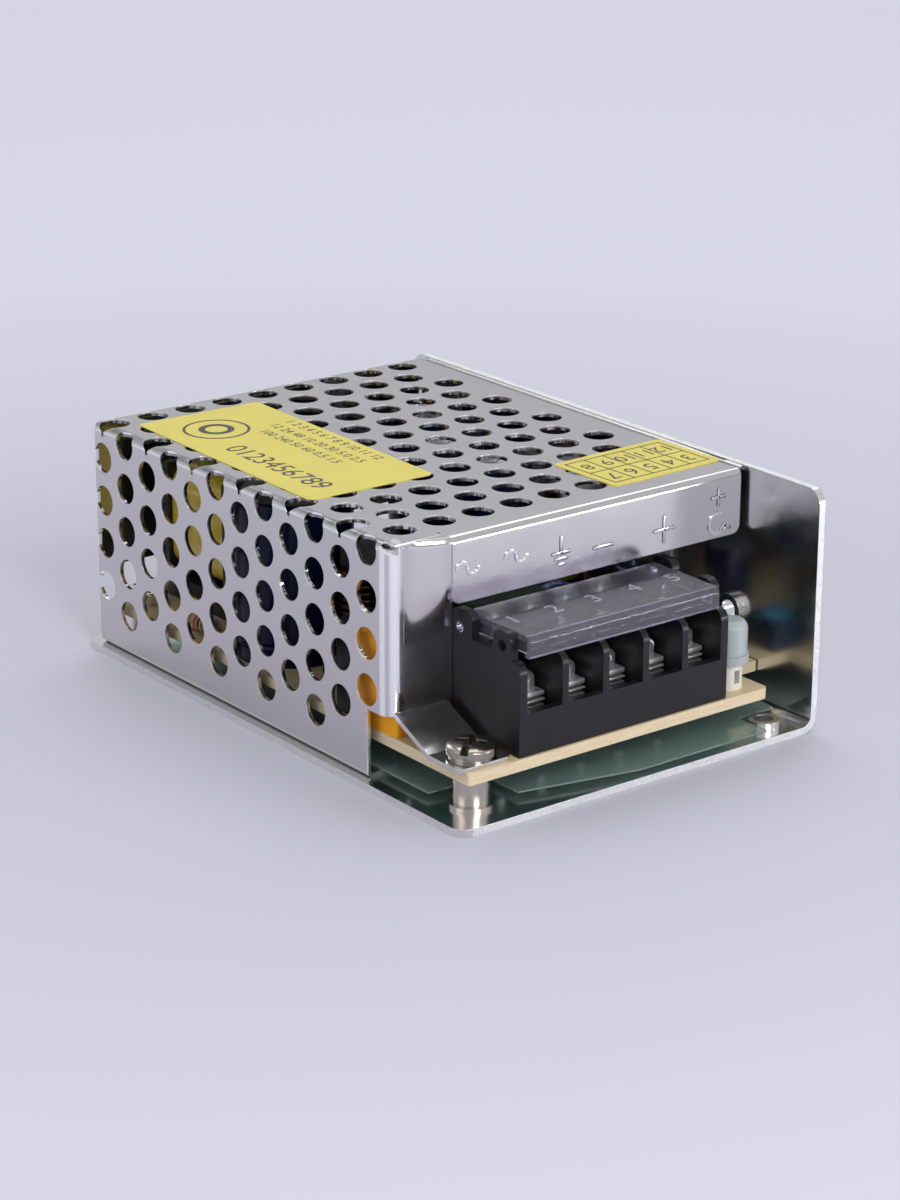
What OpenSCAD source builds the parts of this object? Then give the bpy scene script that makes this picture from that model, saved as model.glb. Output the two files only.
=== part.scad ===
// Mesh case switching power supply: a folded sheet chassis with one wall, a perforated
// wrap-round cover, a circuit board on spacers, and a five-pole screw terminal block.
// Millimetres. X runs along the terminal block, Y runs to the back, Z is up.
// The origin is the centre of the chassis underside.

/* [Base chassis] */
// Width of the chassis, from the open edge to the outer face of the wall
base_w = 58.6; // [57:0.1:64]
// Depth of the chassis, from the terminal end to the back
base_d = 85.6; // [84:0.1:92]
// Thickness of the chassis sheet
base_t = 1.0; // [0.8:0.1:1.5]
// How far the wall stands above the top of the cover
wall_rise = 0.3; // [0:0.1:3]
// Inside radius of the fold between the floor and the wall
base_bend_r = 1.4; // [0.8:0.1:2]
// Radius of the free corners
base_corner_r = 2.2; // [1:0.1:4]
// Height of the extruded collar round each tapped hole
collar_h = 1.0; // [0.5:0.1:1.5]
// Diameter of the tapped holes' bore
tap_d = 2.5; // [2:0.1:3]
// Distance of the floor's tapped holes from its front and rear edges
floor_hole_inset = 3.8; // [3.2:0.1:8]
// Distance between the two tapped holes in the wall
wall_hole_pitch = 55; // [40:1:70]

/* [Mesh cover] */
// Thickness of the cover sheet
cover_t = 0.6; // [0.5:0.1:0.8]
// Height of the cover above the chassis floor
cover_h = 31.7; // [31:0.1:36]
// Width of the floor strip left bare beside the cover
cover_inset = 1.0; // [0.5:0.1:2]
// Gap between the cover and the wall
wall_gap = 0.1; // [0.05:0.05:0.5]
// Length of the floor left bare in front of the cover's lip
front_shelf = 13.9; // [12:0.1:15]
// Length of the floor left bare behind the cover
rear_shelf = 1.8; // [1:0.1:4]
// Gap between the clear flap and the front lip above it
lip_clearance = 1.7; // [1:0.1:3]
// Height of the rear panel
rear_panel_h = 21; // [10:1:22]
// Outside radius of the long folds
fold_r = 1.0; // [0.9:0.1:1.5]
// Outside radius of the upright fold at the front corner
corner_fold_r = 1.8; // [1.2:0.1:2]
// How far the corner flange stands behind the lip
flange_setback = 2.0; // [1.5:0.1:3]

/* [Perforation] */
// Diameter of the holes
hole_d = 4.2; // [3:0.1:4.6]
// Distance between holes in a row
hole_pitch = 6.1; // [5.5:0.1:7]
// Distance between rows
row_pitch = 5.5; // [5:0.1:6]
// Plain strip left between the last row and the rear fold
rear_margin = 0.7; // [0.6:0.1:3]
// Plain strip left beside the wall
wall_margin = 3.4; // [3:0.1:5]
// Plain strip left above the floor
floor_margin = 3.5; // [3:0.1:5]

/* [Circuit board] */
// Thickness of the board
pcb_t = 1.5; // [1:0.1:2]
// Height of the spacers under the board
spacer_h = 4.5; // [4:0.1:6]
// Diameter of the spacers
spacer_d = 4.6; // [4:0.1:5]
// Diameter of the screws that hold the board
screw_d = 2.9; // [2.5:0.1:3]
// Diameter of their heads
screw_head_d = 5.9; // [5:0.1:6.5]
// Height of their heads
screw_head_h = 2.3; // [1.8:0.1:2.6]
// Distance of the board's edge behind the chassis edge
pcb_setback = 2.25; // [1.5:0.05:3]
// Thickness of the insulating sheet
film_t = 0.25; // [0.2:0.05:0.4]

/* [Terminal block] */
// Number of poles
poles = 5; // [5:1:5]
// Depth of the block
block_d = 13.8; // [13:0.1:14]
// Height of the block up to the saddle between the ears
block_h = 12.7; // [12:0.1:14]
// Height of the ears above the saddle
ear_h = 2.9; // [2.5:0.1:3.2]
// Thickness of the ears and end walls
ear_t = 1.2; // [1:0.1:1.3]
// Thickness of the separators between the wire chambers
separator_t = 1.0; // [0.8:0.1:1.2]
// Height of the front sill
sill_h = 5.5; // [5:0.1:6]
// Clearance of a screw head in its chamber, across both sides
clamp_head_play = 0.5; // [0.3:0.1:0.8]
// Thickness of the contact bars
contact_t = 0.7; // [0.5:0.1:0.9]
// Thickness of a clamp plate
clamp_t = 0.9; // [0.7:0.1:1]
// Gap under a clamp plate as delivered
clamp_gap = 0.4; // [0.3:0.1:0.6]
// Diameter of the hinge pins of the clear flap
hinge_pin_d = 1.4; // [1.2:0.1:1.6]
// Thickness of the clear flap
flap_t = 0.9; // [0.7:0.1:1]
// Gap between the clear flap and each ear
flap_play = 0.35; // [0.1:0.05:0.5]

/* [Parts on the board] */
// Diameter of the reservoir capacitor
reservoir_d = 16; // [12:0.5:16]
// Height of the reservoir capacitor
reservoir_h = 22; // [16:0.5:23]
// Diameter of the output capacitors
output_cap_d = 10; // [8:0.5:10]
// Height of the output capacitors
output_cap_h = 22; // [12:0.5:23]
// Length of the transformer core along its winding
core_l = 22; // [18:0.5:24]
// Height of the transformer core
core_h = 21; // [17:0.5:22]
// Thickness of the transformer core
core_t = 9; // [7:0.5:10]
// Width of the transformer winding
winding_w = 20; // [16:0.5:21]
// Height of the two power devices on the wall
device_h = 15; // [14:0.5:16]

/* [Hidden] */
$fn = 64;

cut = 1;              // how far a cutting tool runs past the surface it cuts
seat_gap = 0.05;      // clearance of a part that slides or turns in another
sheet_gap = 0.05;     // gap between two sheets that lie together

// Chassis
x_left = -base_w / 2;
x_right = base_w / 2;
y_front = -base_d / 2;
y_back = base_d / 2;
wall_x = x_right - base_t;
collar_d = tap_d + 1.7;
floor_hole_x = x_right - 5.8;
floor_hole_y = base_d / 2 - floor_hole_inset;
wall_hole_z = 13;

// Cover
cover_x0 = x_left + cover_inset;
cover_x1 = wall_x - wall_gap;
cover_y0 = y_front + front_shelf;
cover_y1 = y_back - rear_shelf;
cover_z1 = base_t + cover_h;
wall_h = cover_z1 + wall_rise;
flange_y = cover_y0 + flange_setback;
lip_x0 = cover_x0 + 8.4;
lip_x1 = cover_x1 - 0.7;
lip_slot = 0.4;
hem_w = 4.5;
ceiling_z = cover_z1 - cover_t;
flange_back = flange_y + cover_t;
side_tab_y0 = flange_y + 3;

// Perforation: the hole pattern was punched flat, so it runs on round the long fold
first_row_y = cover_y0 + 6.45;
last_row_y = cover_y1 - rear_margin - hole_d / 2;
hole_rows = 1 + floor((last_row_y - first_row_y) / row_pitch);
top_hole_x0 = cover_x0 - 0.96;
top_hole_x1 = cover_x1 - wall_margin - hole_d / 2;
top_steps = floor(2 * (top_hole_x1 - top_hole_x0) / hole_pitch) / 2;
side_hole_z0 = cover_z1 - 1.48;
side_hole_z1 = base_t + floor_margin + hole_d / 2;
side_steps = floor(2 * (side_hole_z0 - side_hole_z1) / hole_pitch) / 2;

// Circuit board and what stands on it
pcb_z0 = base_t + spacer_h;
pcb_z1 = pcb_z0 + pcb_t;
pcb_x0 = cover_x0 + cover_t + 1.3;
pcb_x1 = wall_x - 0.2;
pcb_y0 = y_front + pcb_setback;
pcb_y1 = cover_y1 - cover_t - 0.4;
tongue_x1 = wall_x - 5.7;
tongue_l = 8.25;
spacer_ring_d = spacer_d + 0.9;
foot_screw_at = [pcb_x0 + 3.34, pcb_y0 + 3.78];
rear_left_at = [pcb_x0 + 3.34, pcb_y1 - 3.6];
rear_right_at = [pcb_x1 - 15.6, pcb_y1 - 3.6];
screw_hole_d = screw_d + 0.3;
spacer_rivet_d = 3.8;

// Room over the board, behind the corner flange. The parts on the board are drawn for the
// usual room: a smaller case takes smaller ones, set closer together.
usual_room = [54.5, 66.3, 25.1];
room = [pcb_x1 - pcb_x0, pcb_y1 - flange_back, ceiling_z - pcb_z1];
fit = [room.x / usual_room.x, room.y / usual_room.y, room.z / usual_room.z];
part_scale = min(fit);

// Foot of the cover, folded forwards from the corner flange onto the board
foot_x0 = cover_x0 + 1;
foot_x1 = foot_screw_at.x + 3.9;
foot_y0 = pcb_y0 + 0.65;
foot_flat_y = foot_screw_at.y + screw_head_d / 2 + 0.1;
flange_z0 = pcb_z1 + 3.4;
flange_x1 = lip_x0 + 0.9;
notch_y = first_row_y;

// Terminal block
tb_x0 = pcb_x0 + 8.1;
tb_y0 = pcb_y0 + 0.4;
tb_y1 = tb_y0 + block_d;
tb_z1 = pcb_z1 + block_h;
led_room = 7;
tb_x1 = tongue_x1 - led_room;
pole_pitch = (tb_x1 - tb_x0 - 2 * ear_t + separator_t) / poles;
chamber_w = pole_pitch - separator_t;
clamp_head_d = chamber_w - clamp_head_play;
first_pole_x = tb_x0 + ear_t + chamber_w / 2;
screw_y = tb_y0 + 6.05;
chamber_y1 = screw_y + clamp_head_d / 2 + 1;
sill_t = 1.2;
sill_z = pcb_z1 + sill_h;
contact_z = sill_z - 1.3;
separator_z = tb_z1 - 0.6;
back_z = tb_z1 - 0.7;
ear_z = tb_z1 + ear_h;
ear_setback = 1.9;
front_ear_l = 3.4;
rear_ear_l = 4.1;
hinge_y = tb_y0 + 11.85;
hinge_z = tb_z1 + 1;
latch_y = tb_y0 + 3.5;
pin_slot = [1.4, 1.1];
contact_w = chamber_w - 0.9;
contact_y0 = screw_y - 3.1;
contact_y1 = screw_y + 3.1;
clamp_z = contact_z + contact_t + clamp_gap;
clamp_leaf_t = 0.25;
clamp_h = clamp_leaf_t + 0.4 + clamp_t - 0.3;
clamp_w = chamber_w - 0.5;
clamp_head_z = clamp_z + clamp_h + seat_gap;
clamp_head_h = 2.3;
clamp_shaft_l = clamp_head_z - contact_z + 2.6;
flap_x0 = tb_x0 + ear_t + flap_play;
flap_x1 = tb_x1 - ear_t - flap_play;
flap_y0 = tb_y0 + 0.15;
flap_z1 = tb_z1 + 2.6;
flap_skirt_h = 2.8;
lip_h = cover_z1 - flap_z1 - lip_clearance;

// Small parts beside the block
led_at = [tongue_x1 - 4, pcb_y0 + 3.55];
led_lift = 3.6;
led_lead_x = 1.27;
trimmer_at = [wall_x - 7.0, cover_y0 + 0.3];
trimmer_w = 6.6;
trimmer_h = 3.8;
rotor_d = 4;

// Transformer: two E halves whose middle limb carries the bobbin
core_lift = 1.8;
core_leg = 2.6;
core_limb = 6;
core_yoke = 3.4;
window_l = core_l - 2 * core_yoke;
window_h = core_h - 2 * core_leg;
core_mid_z = core_lift + core_h / 2;
bobbin_t = 0.8;
bobbin_gap = 0.1;

// Power devices against the wall
device_w = 10.2;
device_lead_h = 2.2;
tab_t = 1.3;
pad_t = 0.3;
device_x1 = wall_x - pad_t;
devices_y = [flange_back + 17.3 * fit.y, flange_back + 45.3 * fit.y];
device_screw_z = pcb_z1 + (device_lead_h + device_h - 2.8) * part_scale;
device_z1 = pcb_z1 + (device_lead_h + device_h) * part_scale;
wall_screw_head_d = 5.2;
wall_screw_head_h = 1.6;

// Tab of the cover beside the wall, which ends above the power devices
side_tab_h = cover_z1 - device_z1 - 0.7;
cover_screw_z = cover_z1 - side_tab_h / 2 - 0.4;
cover_screws_y = [side_tab_y0 + 12, cover_y1 - 12];

// Labels on top of the cover
cover_w = cover_x1 - cover_x0;
cover_l = cover_y1 - cover_y0;
large_label_size = [0.342 * cover_w, 0.6 * cover_l];
large_label_at = [cover_x0 + 0.234 * cover_w, cover_y1 - 0.382 * cover_l];
small_label_size = [0.33 * cover_w, 0.175 * cover_l];
small_label_at = [cover_x1 - 0.173 * cover_w, cover_y0 + 0.146 * cover_l];
label_t = 0.1;

// ---- Shapes used more than once ----

// Runs a profile drawn in X and Z from y0 to y1
module along_y(y0, y1) {
    translate([0, y1, 0]) rotate([90, 0, 0]) linear_extrude(y1 - y0) children();
}

// Runs a profile drawn in Y and Z from x0 to x1
module along_x(x0, x1) {
    translate([x0, 0, 0]) rotate([90, 0, 90]) linear_extrude(x1 - x0) children();
}

// Quarter ring: the section of sheet folded through a right angle
module fold(r, t) {
    intersection() {
        difference() {
            circle(r);
            circle(r - t);
        }
        square(r + cut);
    }
}

// What is cut away to round a corner at the origin whose body lies towards +X and +Y
module corner_cut(r) {
    difference() {
        translate([-cut, -cut]) square(r + cut);
        translate([r, r]) circle(r);
    }
}

// Flat plate with its four corners rounded, from its lower left corner
module rounded_rect(size, r) {
    difference() {
        square(size);
        corner_cut(r);
        translate([size.x, 0]) rotate(90) corner_cut(r);
        translate(size) rotate(180) corner_cut(r);
        translate([0, size.y]) rotate(270) corner_cut(r);
    }
}

// Upright plate with only its two top corners rounded
module tombstone(w, h, r) {
    difference() {
        square([w, h]);
        translate([w, h]) rotate(180) corner_cut(r);
        translate([0, h]) rotate(270) corner_cut(r);
    }
}

// Pan head with a slot and a cross, its seat at z = 0
module pan_head(d, h) {
    slot_w = d * 0.16;
    rim = h * 0.62;
    difference() {
        rotate_extrude() difference() {
            union() {
                square([d / 2, rim]);
                intersection() {
                    translate([0, rim]) scale([1, (h - rim) * 2 / d]) circle(d / 2);
                    translate([0, rim]) square([d / 2, h]);
                }
            }
        }
        translate([-d, -slot_w / 2, h * 0.52]) cube([2 * d, slot_w, h]);
        translate([-slot_w / 2, -d * 0.3, h * 0.42]) cube([slot_w, d * 0.6, h]);
    }
}

// Machine screw hanging from its seat at z = 0
module machine_screw(shaft_d, length, head_d, head_h) {
    pan_head(head_d, head_h);
    translate([0, 0, -length]) cylinder(h = length + 0.2, d = shaft_d);
}

// ---- Case ----

module base_section() {
    r = base_bend_r + base_t;
    translate([x_left, 0]) square([base_w - r, base_t]);
    translate([x_right - r, r]) rotate(270) fold(r, base_t);
    translate([wall_x, r]) square([base_t, wall_h - r]);
}

module base_chassis() {
    color("silver") difference() {
        union() {
            along_y(y_front, y_back) base_section();
            for (s = [-1, 1]) {
                translate([floor_hole_x, s * floor_hole_y, base_t / 2])
                    cylinder(h = base_t / 2 + collar_h, d = collar_d);
                translate([wall_x + base_t / 2, s * wall_hole_pitch / 2, wall_hole_z])
                    rotate([0, -90, 0]) cylinder(h = base_t / 2 + collar_h, d = collar_d);
            }
        }
        translate([x_left, y_front, -cut]) linear_extrude(base_t + 2 * cut) corner_cut(base_corner_r);
        translate([x_left, y_back, -cut]) linear_extrude(base_t + 2 * cut)
            rotate(270) corner_cut(base_corner_r);
        along_x(wall_x - cut, x_right + cut) {
            translate([y_front, wall_h]) rotate(270) corner_cut(base_corner_r);
            translate([y_back, wall_h]) rotate(180) corner_cut(base_corner_r);
        }
        for (s = [-1, 1]) {
            translate([floor_hole_x, s * floor_hole_y, -cut])
                cylinder(h = base_t + collar_h + 2 * cut, d = tap_d);
            translate([x_right + cut, s * wall_hole_pitch / 2, wall_hole_z])
                rotate([0, -90, 0]) cylinder(h = base_t + collar_h + 2 * cut, d = tap_d);
        }
        for (y = cover_screws_y)
            translate([x_right + cut, y, cover_screw_z])
                rotate([0, -90, 0]) cylinder(h = base_t + 2 * cut, d = screw_hole_d);
        for (y = devices_y)
            translate([x_right + cut, y, device_screw_z])
                rotate([0, -90, 0]) cylinder(h = base_t + 2 * cut, d = screw_hole_d);
        for (p = [foot_screw_at, rear_left_at, rear_right_at])
            translate([p.x, p.y, -cut]) cylinder(h = base_t + 2 * cut, d = spacer_rivet_d + 2 * seat_gap);
    }
}

// Sheet bent round the left side, over the top and a little way down beside the wall
module cover_section() {
    side_h = cover_h - 2 * fold_r;
    translate([cover_x0 + fold_r, base_t]) square([hem_w - fold_r, cover_t]);
    translate([cover_x0 + fold_r, base_t + fold_r]) rotate(180) fold(fold_r, cover_t);
    translate([cover_x0, base_t + fold_r]) square([cover_t, side_h]);
    translate([cover_x0 + fold_r, cover_z1 - fold_r]) rotate(90) fold(fold_r, cover_t);
    translate([cover_x0 + fold_r, ceiling_z]) square([cover_x1 - cover_x0 - 2 * fold_r, cover_t]);
    translate([cover_x1 - fold_r, cover_z1 - fold_r]) fold(fold_r, cover_t);
    translate([cover_x1 - cover_t, cover_z1 - side_tab_h])
        square([cover_t, side_tab_h - fold_r]);
}

// Front lip, or with its mirror image the rear panel: y is the outer face
module lip_section(y, h) {
    translate([y + fold_r, cover_z1 - fold_r]) rotate(90) fold(fold_r, cover_t);
    translate([y, cover_z1 - h]) square([cover_t, h - fold_r]);
}

module lip_panel(x0, x1, y, h, r) {
    difference() {
        along_x(x0, x1) lip_section(y, h);
        along_y(y - cut, y + cover_t + cut) {
            translate([x0, cover_z1 - h]) corner_cut(r);
            translate([x1, cover_z1 - h]) rotate(90) corner_cut(r);
        }
    }
}

// Corner flange seen from above: the side folded round to face the front
module flange_section() {
    translate([cover_x0 + corner_fold_r, flange_y + corner_fold_r])
        rotate(180) fold(corner_fold_r, cover_t);
    translate([cover_x0 + corner_fold_r, flange_y])
        square([flange_x1 - cover_x0 - corner_fold_r, cover_t]);
}

// Underside of the foot: flat on the board, then rising to the flange
function foot_z(y) =
    let (s = max(0, (y - foot_flat_y) / (flange_y - foot_flat_y)))
    pcb_z1 + (flange_z0 - 0.2 - pcb_z1) * s * s;

module foot_section() {
    steps = 9;
    y_end = flange_y + cover_t;
    ys = concat([foot_y0], [for (i = [0:steps]) foot_flat_y + (y_end - foot_flat_y) * i / steps]);
    rise = 1.12;
    polygon(concat(
        [for (y = ys) [y, foot_z(y)]],
        [for (i = [len(ys) - 1:-1:0])
            [ys[i], foot_z(ys[i]) + cover_t * (i > 1 ? rise : 1)]]));
}

module cover_foot() {
    difference() {
        along_x(foot_x0, foot_x1) foot_section();
        translate([foot_screw_at.x, foot_screw_at.y, pcb_z1 - cut])
            cylinder(h = cover_t + 2 * cut, d = screw_hole_d);
        translate([foot_x0, foot_y0, pcb_z1 - cut])
            linear_extrude(cover_t + 2 * cut) corner_cut(0.8);
        translate([foot_x1, foot_y0, pcb_z1 - cut])
            linear_extrude(cover_t + 2 * cut) rotate(90) corner_cut(0.8);
    }
}

// All the holes of the staggered pattern, as the punches that make them
module perforation() {
    fold_cut = 1.14;
    for (r = [0:hole_rows - 1]) {
        y = first_row_y + r * row_pitch;
        start = (r % 2) / 2;
        for (k = [start:1:top_steps])
            translate([top_hole_x0 + k * hole_pitch, y, cover_z1 - fold_r - cover_t])
                cylinder(h = fold_r + cover_t + cut, d = hole_d);
        for (k = [start:1:side_steps])
            if (r > 0 || k < side_steps)
                translate([cover_x0 - cut, y, side_hole_z0 - k * hole_pitch])
                    rotate([0, 90, 0])
                        cylinder(h = cut + (k == 0 ? fold_cut - 0.4 : fold_r + cover_t), d = hole_d);
    }
}

module mesh_cover() {
    color("gainsboro") {
        difference() {
            along_y(cover_y0 + fold_r, cover_y1 - fold_r) cover_section();
            // open corner below the flange
            translate([cover_x0 - cut, y_front, base_t - cut])
                cube([hem_w + 2 * cut, notch_y - y_front, flange_z0 - base_t + cut]);
            // the side stops where the upright fold begins
            translate([cover_x0 - cut, y_front, base_t])
                cube([fold_r + cut, flange_y + corner_fold_r - y_front, cover_h + cut]);
            // the top stops over the corner flange, and is slit beside the lip
            translate([cover_x0 - cut, y_front, ceiling_z - cut])
                cube([lip_x0 - cover_x0 + cut, flange_y - 0.1 - y_front, cover_t + 2 * cut]);
            translate([lip_x0 - lip_slot, y_front, ceiling_z - cut])
                cube([lip_slot, flange_y + 1 - y_front, cover_t + 2 * cut]);
            // the tab beside the wall starts behind the lip
            translate([lip_x1, y_front, cover_z1 - side_tab_h - cut])
                cube([cover_x1 - lip_x1 + cut, flange_y - 0.6 - y_front, side_tab_h + 2 * cut]);
            translate([cover_x1 - fold_r - cover_t, y_front, cover_z1 - side_tab_h - cut])
                cube([fold_r + 2 * cover_t, side_tab_y0 - y_front, side_tab_h + cut - fold_r]);
            for (y = cover_screws_y)
                translate([cover_x1 + cut, y, cover_screw_z])
                    rotate([0, -90, 0]) cylinder(h = cover_t + 2 * cut, d = screw_d + 2 * seat_gap);
            // the hem on the floor clears the rear spacer
            translate([rear_left_at.x, rear_left_at.y, base_t - cut])
                cylinder(h = cover_t + 2 * cut, d = spacer_ring_d + 1);
            perforation();
        }
        lip_panel(lip_x0, lip_x1, cover_y0, lip_h, 1.2);
        mirror([0, 1, 0]) lip_panel(cover_x0 + cover_t + 0.2, lip_x1, -cover_y1, rear_panel_h, 1.2);
        translate([0, 0, flange_z0])
            linear_extrude(ceiling_z - sheet_gap - flange_z0) flange_section();
        cover_foot();
    }
}

module cover_screws() {
    color("whitesmoke") for (y = cover_screws_y)
        translate([x_right, y, cover_screw_z]) rotate([0, 90, 0])
            machine_screw(screw_d, base_t + wall_gap + cover_t + 2.2, wall_screw_head_d, wall_screw_head_h);
}

// Thin plate lying on the cover, with its centre at a place and turned a little
module label(at, size, turn, r) {
    translate([at.x, at.y, cover_z1]) rotate(turn) translate(-size / 2)
        linear_extrude(label_t) rounded_rect(size, r);
}

module large_label() {
    color("gold") label(large_label_at, large_label_size, -1.4, 1);
}

module small_label() {
    color("gold") label(small_label_at, small_label_size, 1.5, 0.8);
}

// ---- Board and its fixings ----

module board_outline() {
    difference() {
        translate([pcb_x0, pcb_y0]) square([pcb_x1 - pcb_x0, pcb_y1 - pcb_y0]);
        translate([tongue_x1, pcb_y0 - cut]) square([pcb_x1 - tongue_x1 + cut, tongue_l + cut]);
        translate([tongue_x1, pcb_y0]) rotate(90) corner_cut(0.7);
        translate([pcb_x0, pcb_y0]) corner_cut(0.3);
    }
}

module circuit_board() {
    color("burlywood") difference() {
        translate([0, 0, pcb_z0]) linear_extrude(pcb_t) board_outline();
        for (p = [foot_screw_at, rear_left_at, rear_right_at])
            translate([p.x, p.y, pcb_z0 - cut]) cylinder(h = pcb_t + 2 * cut, d = screw_hole_d);
        for (i = [0:poles - 1])
            translate([pole_x(i) - pin_slot.x / 2, contact_y1 - pin_slot.y, pcb_z0 - cut])
                cube([pin_slot.x, pin_slot.y, pcb_t + 2 * cut]);
        for (s = [-1, 1])
            translate([led_at.x + s * led_lead_x, led_at.y, pcb_z0 - cut])
                cylinder(h = pcb_t + 2 * cut, d = 0.9);
    }
}

module insulating_sheet() {
    z = base_t + cover_t + sheet_gap;
    x0 = pcb_x0 + 0.3;
    x1 = pcb_x1 - 0.7;
    spacer_x = foot_screw_at.x + 5.9;
    spacer_y = foot_screw_at.y + 4.6;
    hole_x = floor_hole_x - collar_d / 2 - 0.3;
    hole_y = y_front + 6.1;
    color("darkslategray", 0.6) difference() {
        translate([0, 0, z]) linear_extrude(film_t) polygon([
            [x0, pcb_y1], [x0, spacer_y], [spacer_x, spacer_y], [spacer_x, y_front + 4.2],
            [-0.5, y_front + 0.6], [hole_x, y_front + 0.6], [hole_x, hole_y],
            [x1, hole_y], [x1, pcb_y1]]);
        for (p = [rear_left_at, rear_right_at])
            translate([p.x, p.y, z - cut]) cylinder(h = film_t + 2 * cut, d = spacer_ring_d + 1);
        translate([floor_hole_x, floor_hole_y, z - cut])
            cylinder(h = film_t + 2 * cut, d = collar_d + 1.5);
    }
}

// Turned spacer riveted into the floor
module spacer(p) {
    color("lightgray") translate([p.x, p.y, 0]) difference() {
        union() {
            cylinder(h = base_t, d = spacer_rivet_d);
            translate([0, 0, base_t]) cylinder(h = 0.5, d = spacer_ring_d);
            translate([0, 0, base_t]) cylinder(h = spacer_h, d = spacer_d);
        }
        translate([0, 0, -cut]) cylinder(h = pcb_z0 + 2 * cut, d = screw_d + 2 * seat_gap);
    }
}

// Screw into a spacer, with its captive washer on what it clamps on the board
module board_screw(p, clamped) {
    washer_t = 0.7;
    washer_d = screw_head_d - 0.5;
    shaft_l = washer_t + clamped + pcb_t + spacer_h - 0.6;
    color("whitesmoke") translate([p.x, p.y, pcb_z1 + clamped]) {
        translate([0, 0, washer_t]) rotate(35)
            machine_screw(screw_d, shaft_l, screw_head_d, screw_head_h - washer_t);
        cylinder(h = washer_t, d = washer_d);
    }
}

// ---- Terminal block ----

function pole_x(i) = first_pole_x + i * pole_pitch;

module terminal_block() {
    separator_r = 1.5;
    color([0.13, 0.13, 0.14]) difference() {
        union() {
            along_x(tb_x0, tb_x1)
                translate([tb_y0, pcb_z1]) square([block_d, block_h]);
            for (x = [tb_x0, tb_x1 - ear_t]) along_x(x, x + ear_t) {
                translate([tb_y0 + ear_setback, tb_z1 - cut])
                    tombstone(front_ear_l, ear_h + cut, 1.3);
                translate([hinge_y - 2.4, tb_z1 - cut]) tombstone(rear_ear_l, ear_h + 0.5 + cut, 1.3);
            }
        }
        // space under the flap, down to the separators and the back wall
        translate([tb_x0 + ear_t, tb_y0 - cut, separator_z])
            cube([tb_x1 - tb_x0 - 2 * ear_t, chamber_y1 - tb_y0 + cut, ear_h + 3 * cut]);
        translate([tb_x0 + ear_t, tb_y0 - cut, back_z])
            cube([tb_x1 - tb_x0 - 2 * ear_t, block_d + 2 * cut, ear_h + 3 * cut]);
        for (i = [0:poles - 1]) translate([pole_x(i), 0, 0]) {
            // wire chamber, open above the sill and at the top
            along_x(-chamber_w / 2, chamber_w / 2) {
                translate([tb_y0 + sill_t, contact_z]) square([chamber_y1 - tb_y0 - sill_t, block_h]);
                translate([tb_y0 - cut, sill_z]) square([sill_t + 2 * cut, block_h]);
            }
            translate([0, screw_y, contact_z - 3.5]) cylinder(h = 4, d = screw_d + 0.5);
            translate([-pin_slot.x / 2, contact_y1 - pin_slot.y, pcb_z1 - cut])
                cube([pin_slot.x, pin_slot.y, block_h]);
        }
        // in front of the ears the end walls are as low as the separators
        translate([tb_x0 - cut, tb_y0 - cut, separator_z])
            cube([tb_x1 - tb_x0 + 2 * cut, ear_setback + cut, ear_h + cut]);
        // rounded front corner along the top of the separators and end walls
        along_x(tb_x0 - cut, tb_x1 + cut)
            translate([tb_y0, separator_z]) rotate(270) corner_cut(separator_r);
        for (y = [hinge_y, latch_y])
            translate([tb_x0 - cut, y, hinge_z]) rotate([0, 90, 0])
                cylinder(h = tb_x1 - tb_x0 + 2 * cut, d = hinge_pin_d + 2 * seat_gap);
    }
}

// Contact bars with the pins that go down through the block and the board
module terminal_contacts() {
    color("silver") for (i = [0:poles - 1]) translate([pole_x(i), 0, 0]) {
        difference() {
            translate([-contact_w / 2, contact_y0, contact_z])
                cube([contact_w, contact_y1 - contact_y0, contact_t]);
            translate([0, screw_y, contact_z - cut])
                cylinder(h = contact_t + 2 * cut, d = screw_d + 2 * seat_gap);
        }
        translate([-0.5, contact_y1 - 0.9, pcb_z0 - 1.2])
            cube([1, 0.7, contact_z - pcb_z0 + 1.2 + contact_t / 2]);
    }
}

// Folded clamp: a thin leaf under a plate, joined at the back, round the screw
module clamp_plate(i) {
    plate_t = clamp_t - 0.3;
    color("gainsboro") translate([pole_x(i), screw_y, clamp_z]) difference() {
        along_x(-clamp_w / 2, clamp_w / 2) {
            translate([-2.95, 0]) square([5.7, clamp_leaf_t]);
            translate([-2.85, clamp_h - plate_t]) square([5.6, plate_t]);
            translate([2.35, 0]) square([0.4, clamp_h]);
        }
        translate([0, 0, -cut]) cylinder(h = clamp_h + 2 * cut, d = screw_d + 2 * seat_gap);
    }
}

module terminal_screw(i) {
    color("whitesmoke") translate([pole_x(i), screw_y, clamp_head_z])
        rotate(20 + 37 * i) machine_screw(screw_d, clamp_shaft_l, clamp_head_d, clamp_head_h);
}

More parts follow.
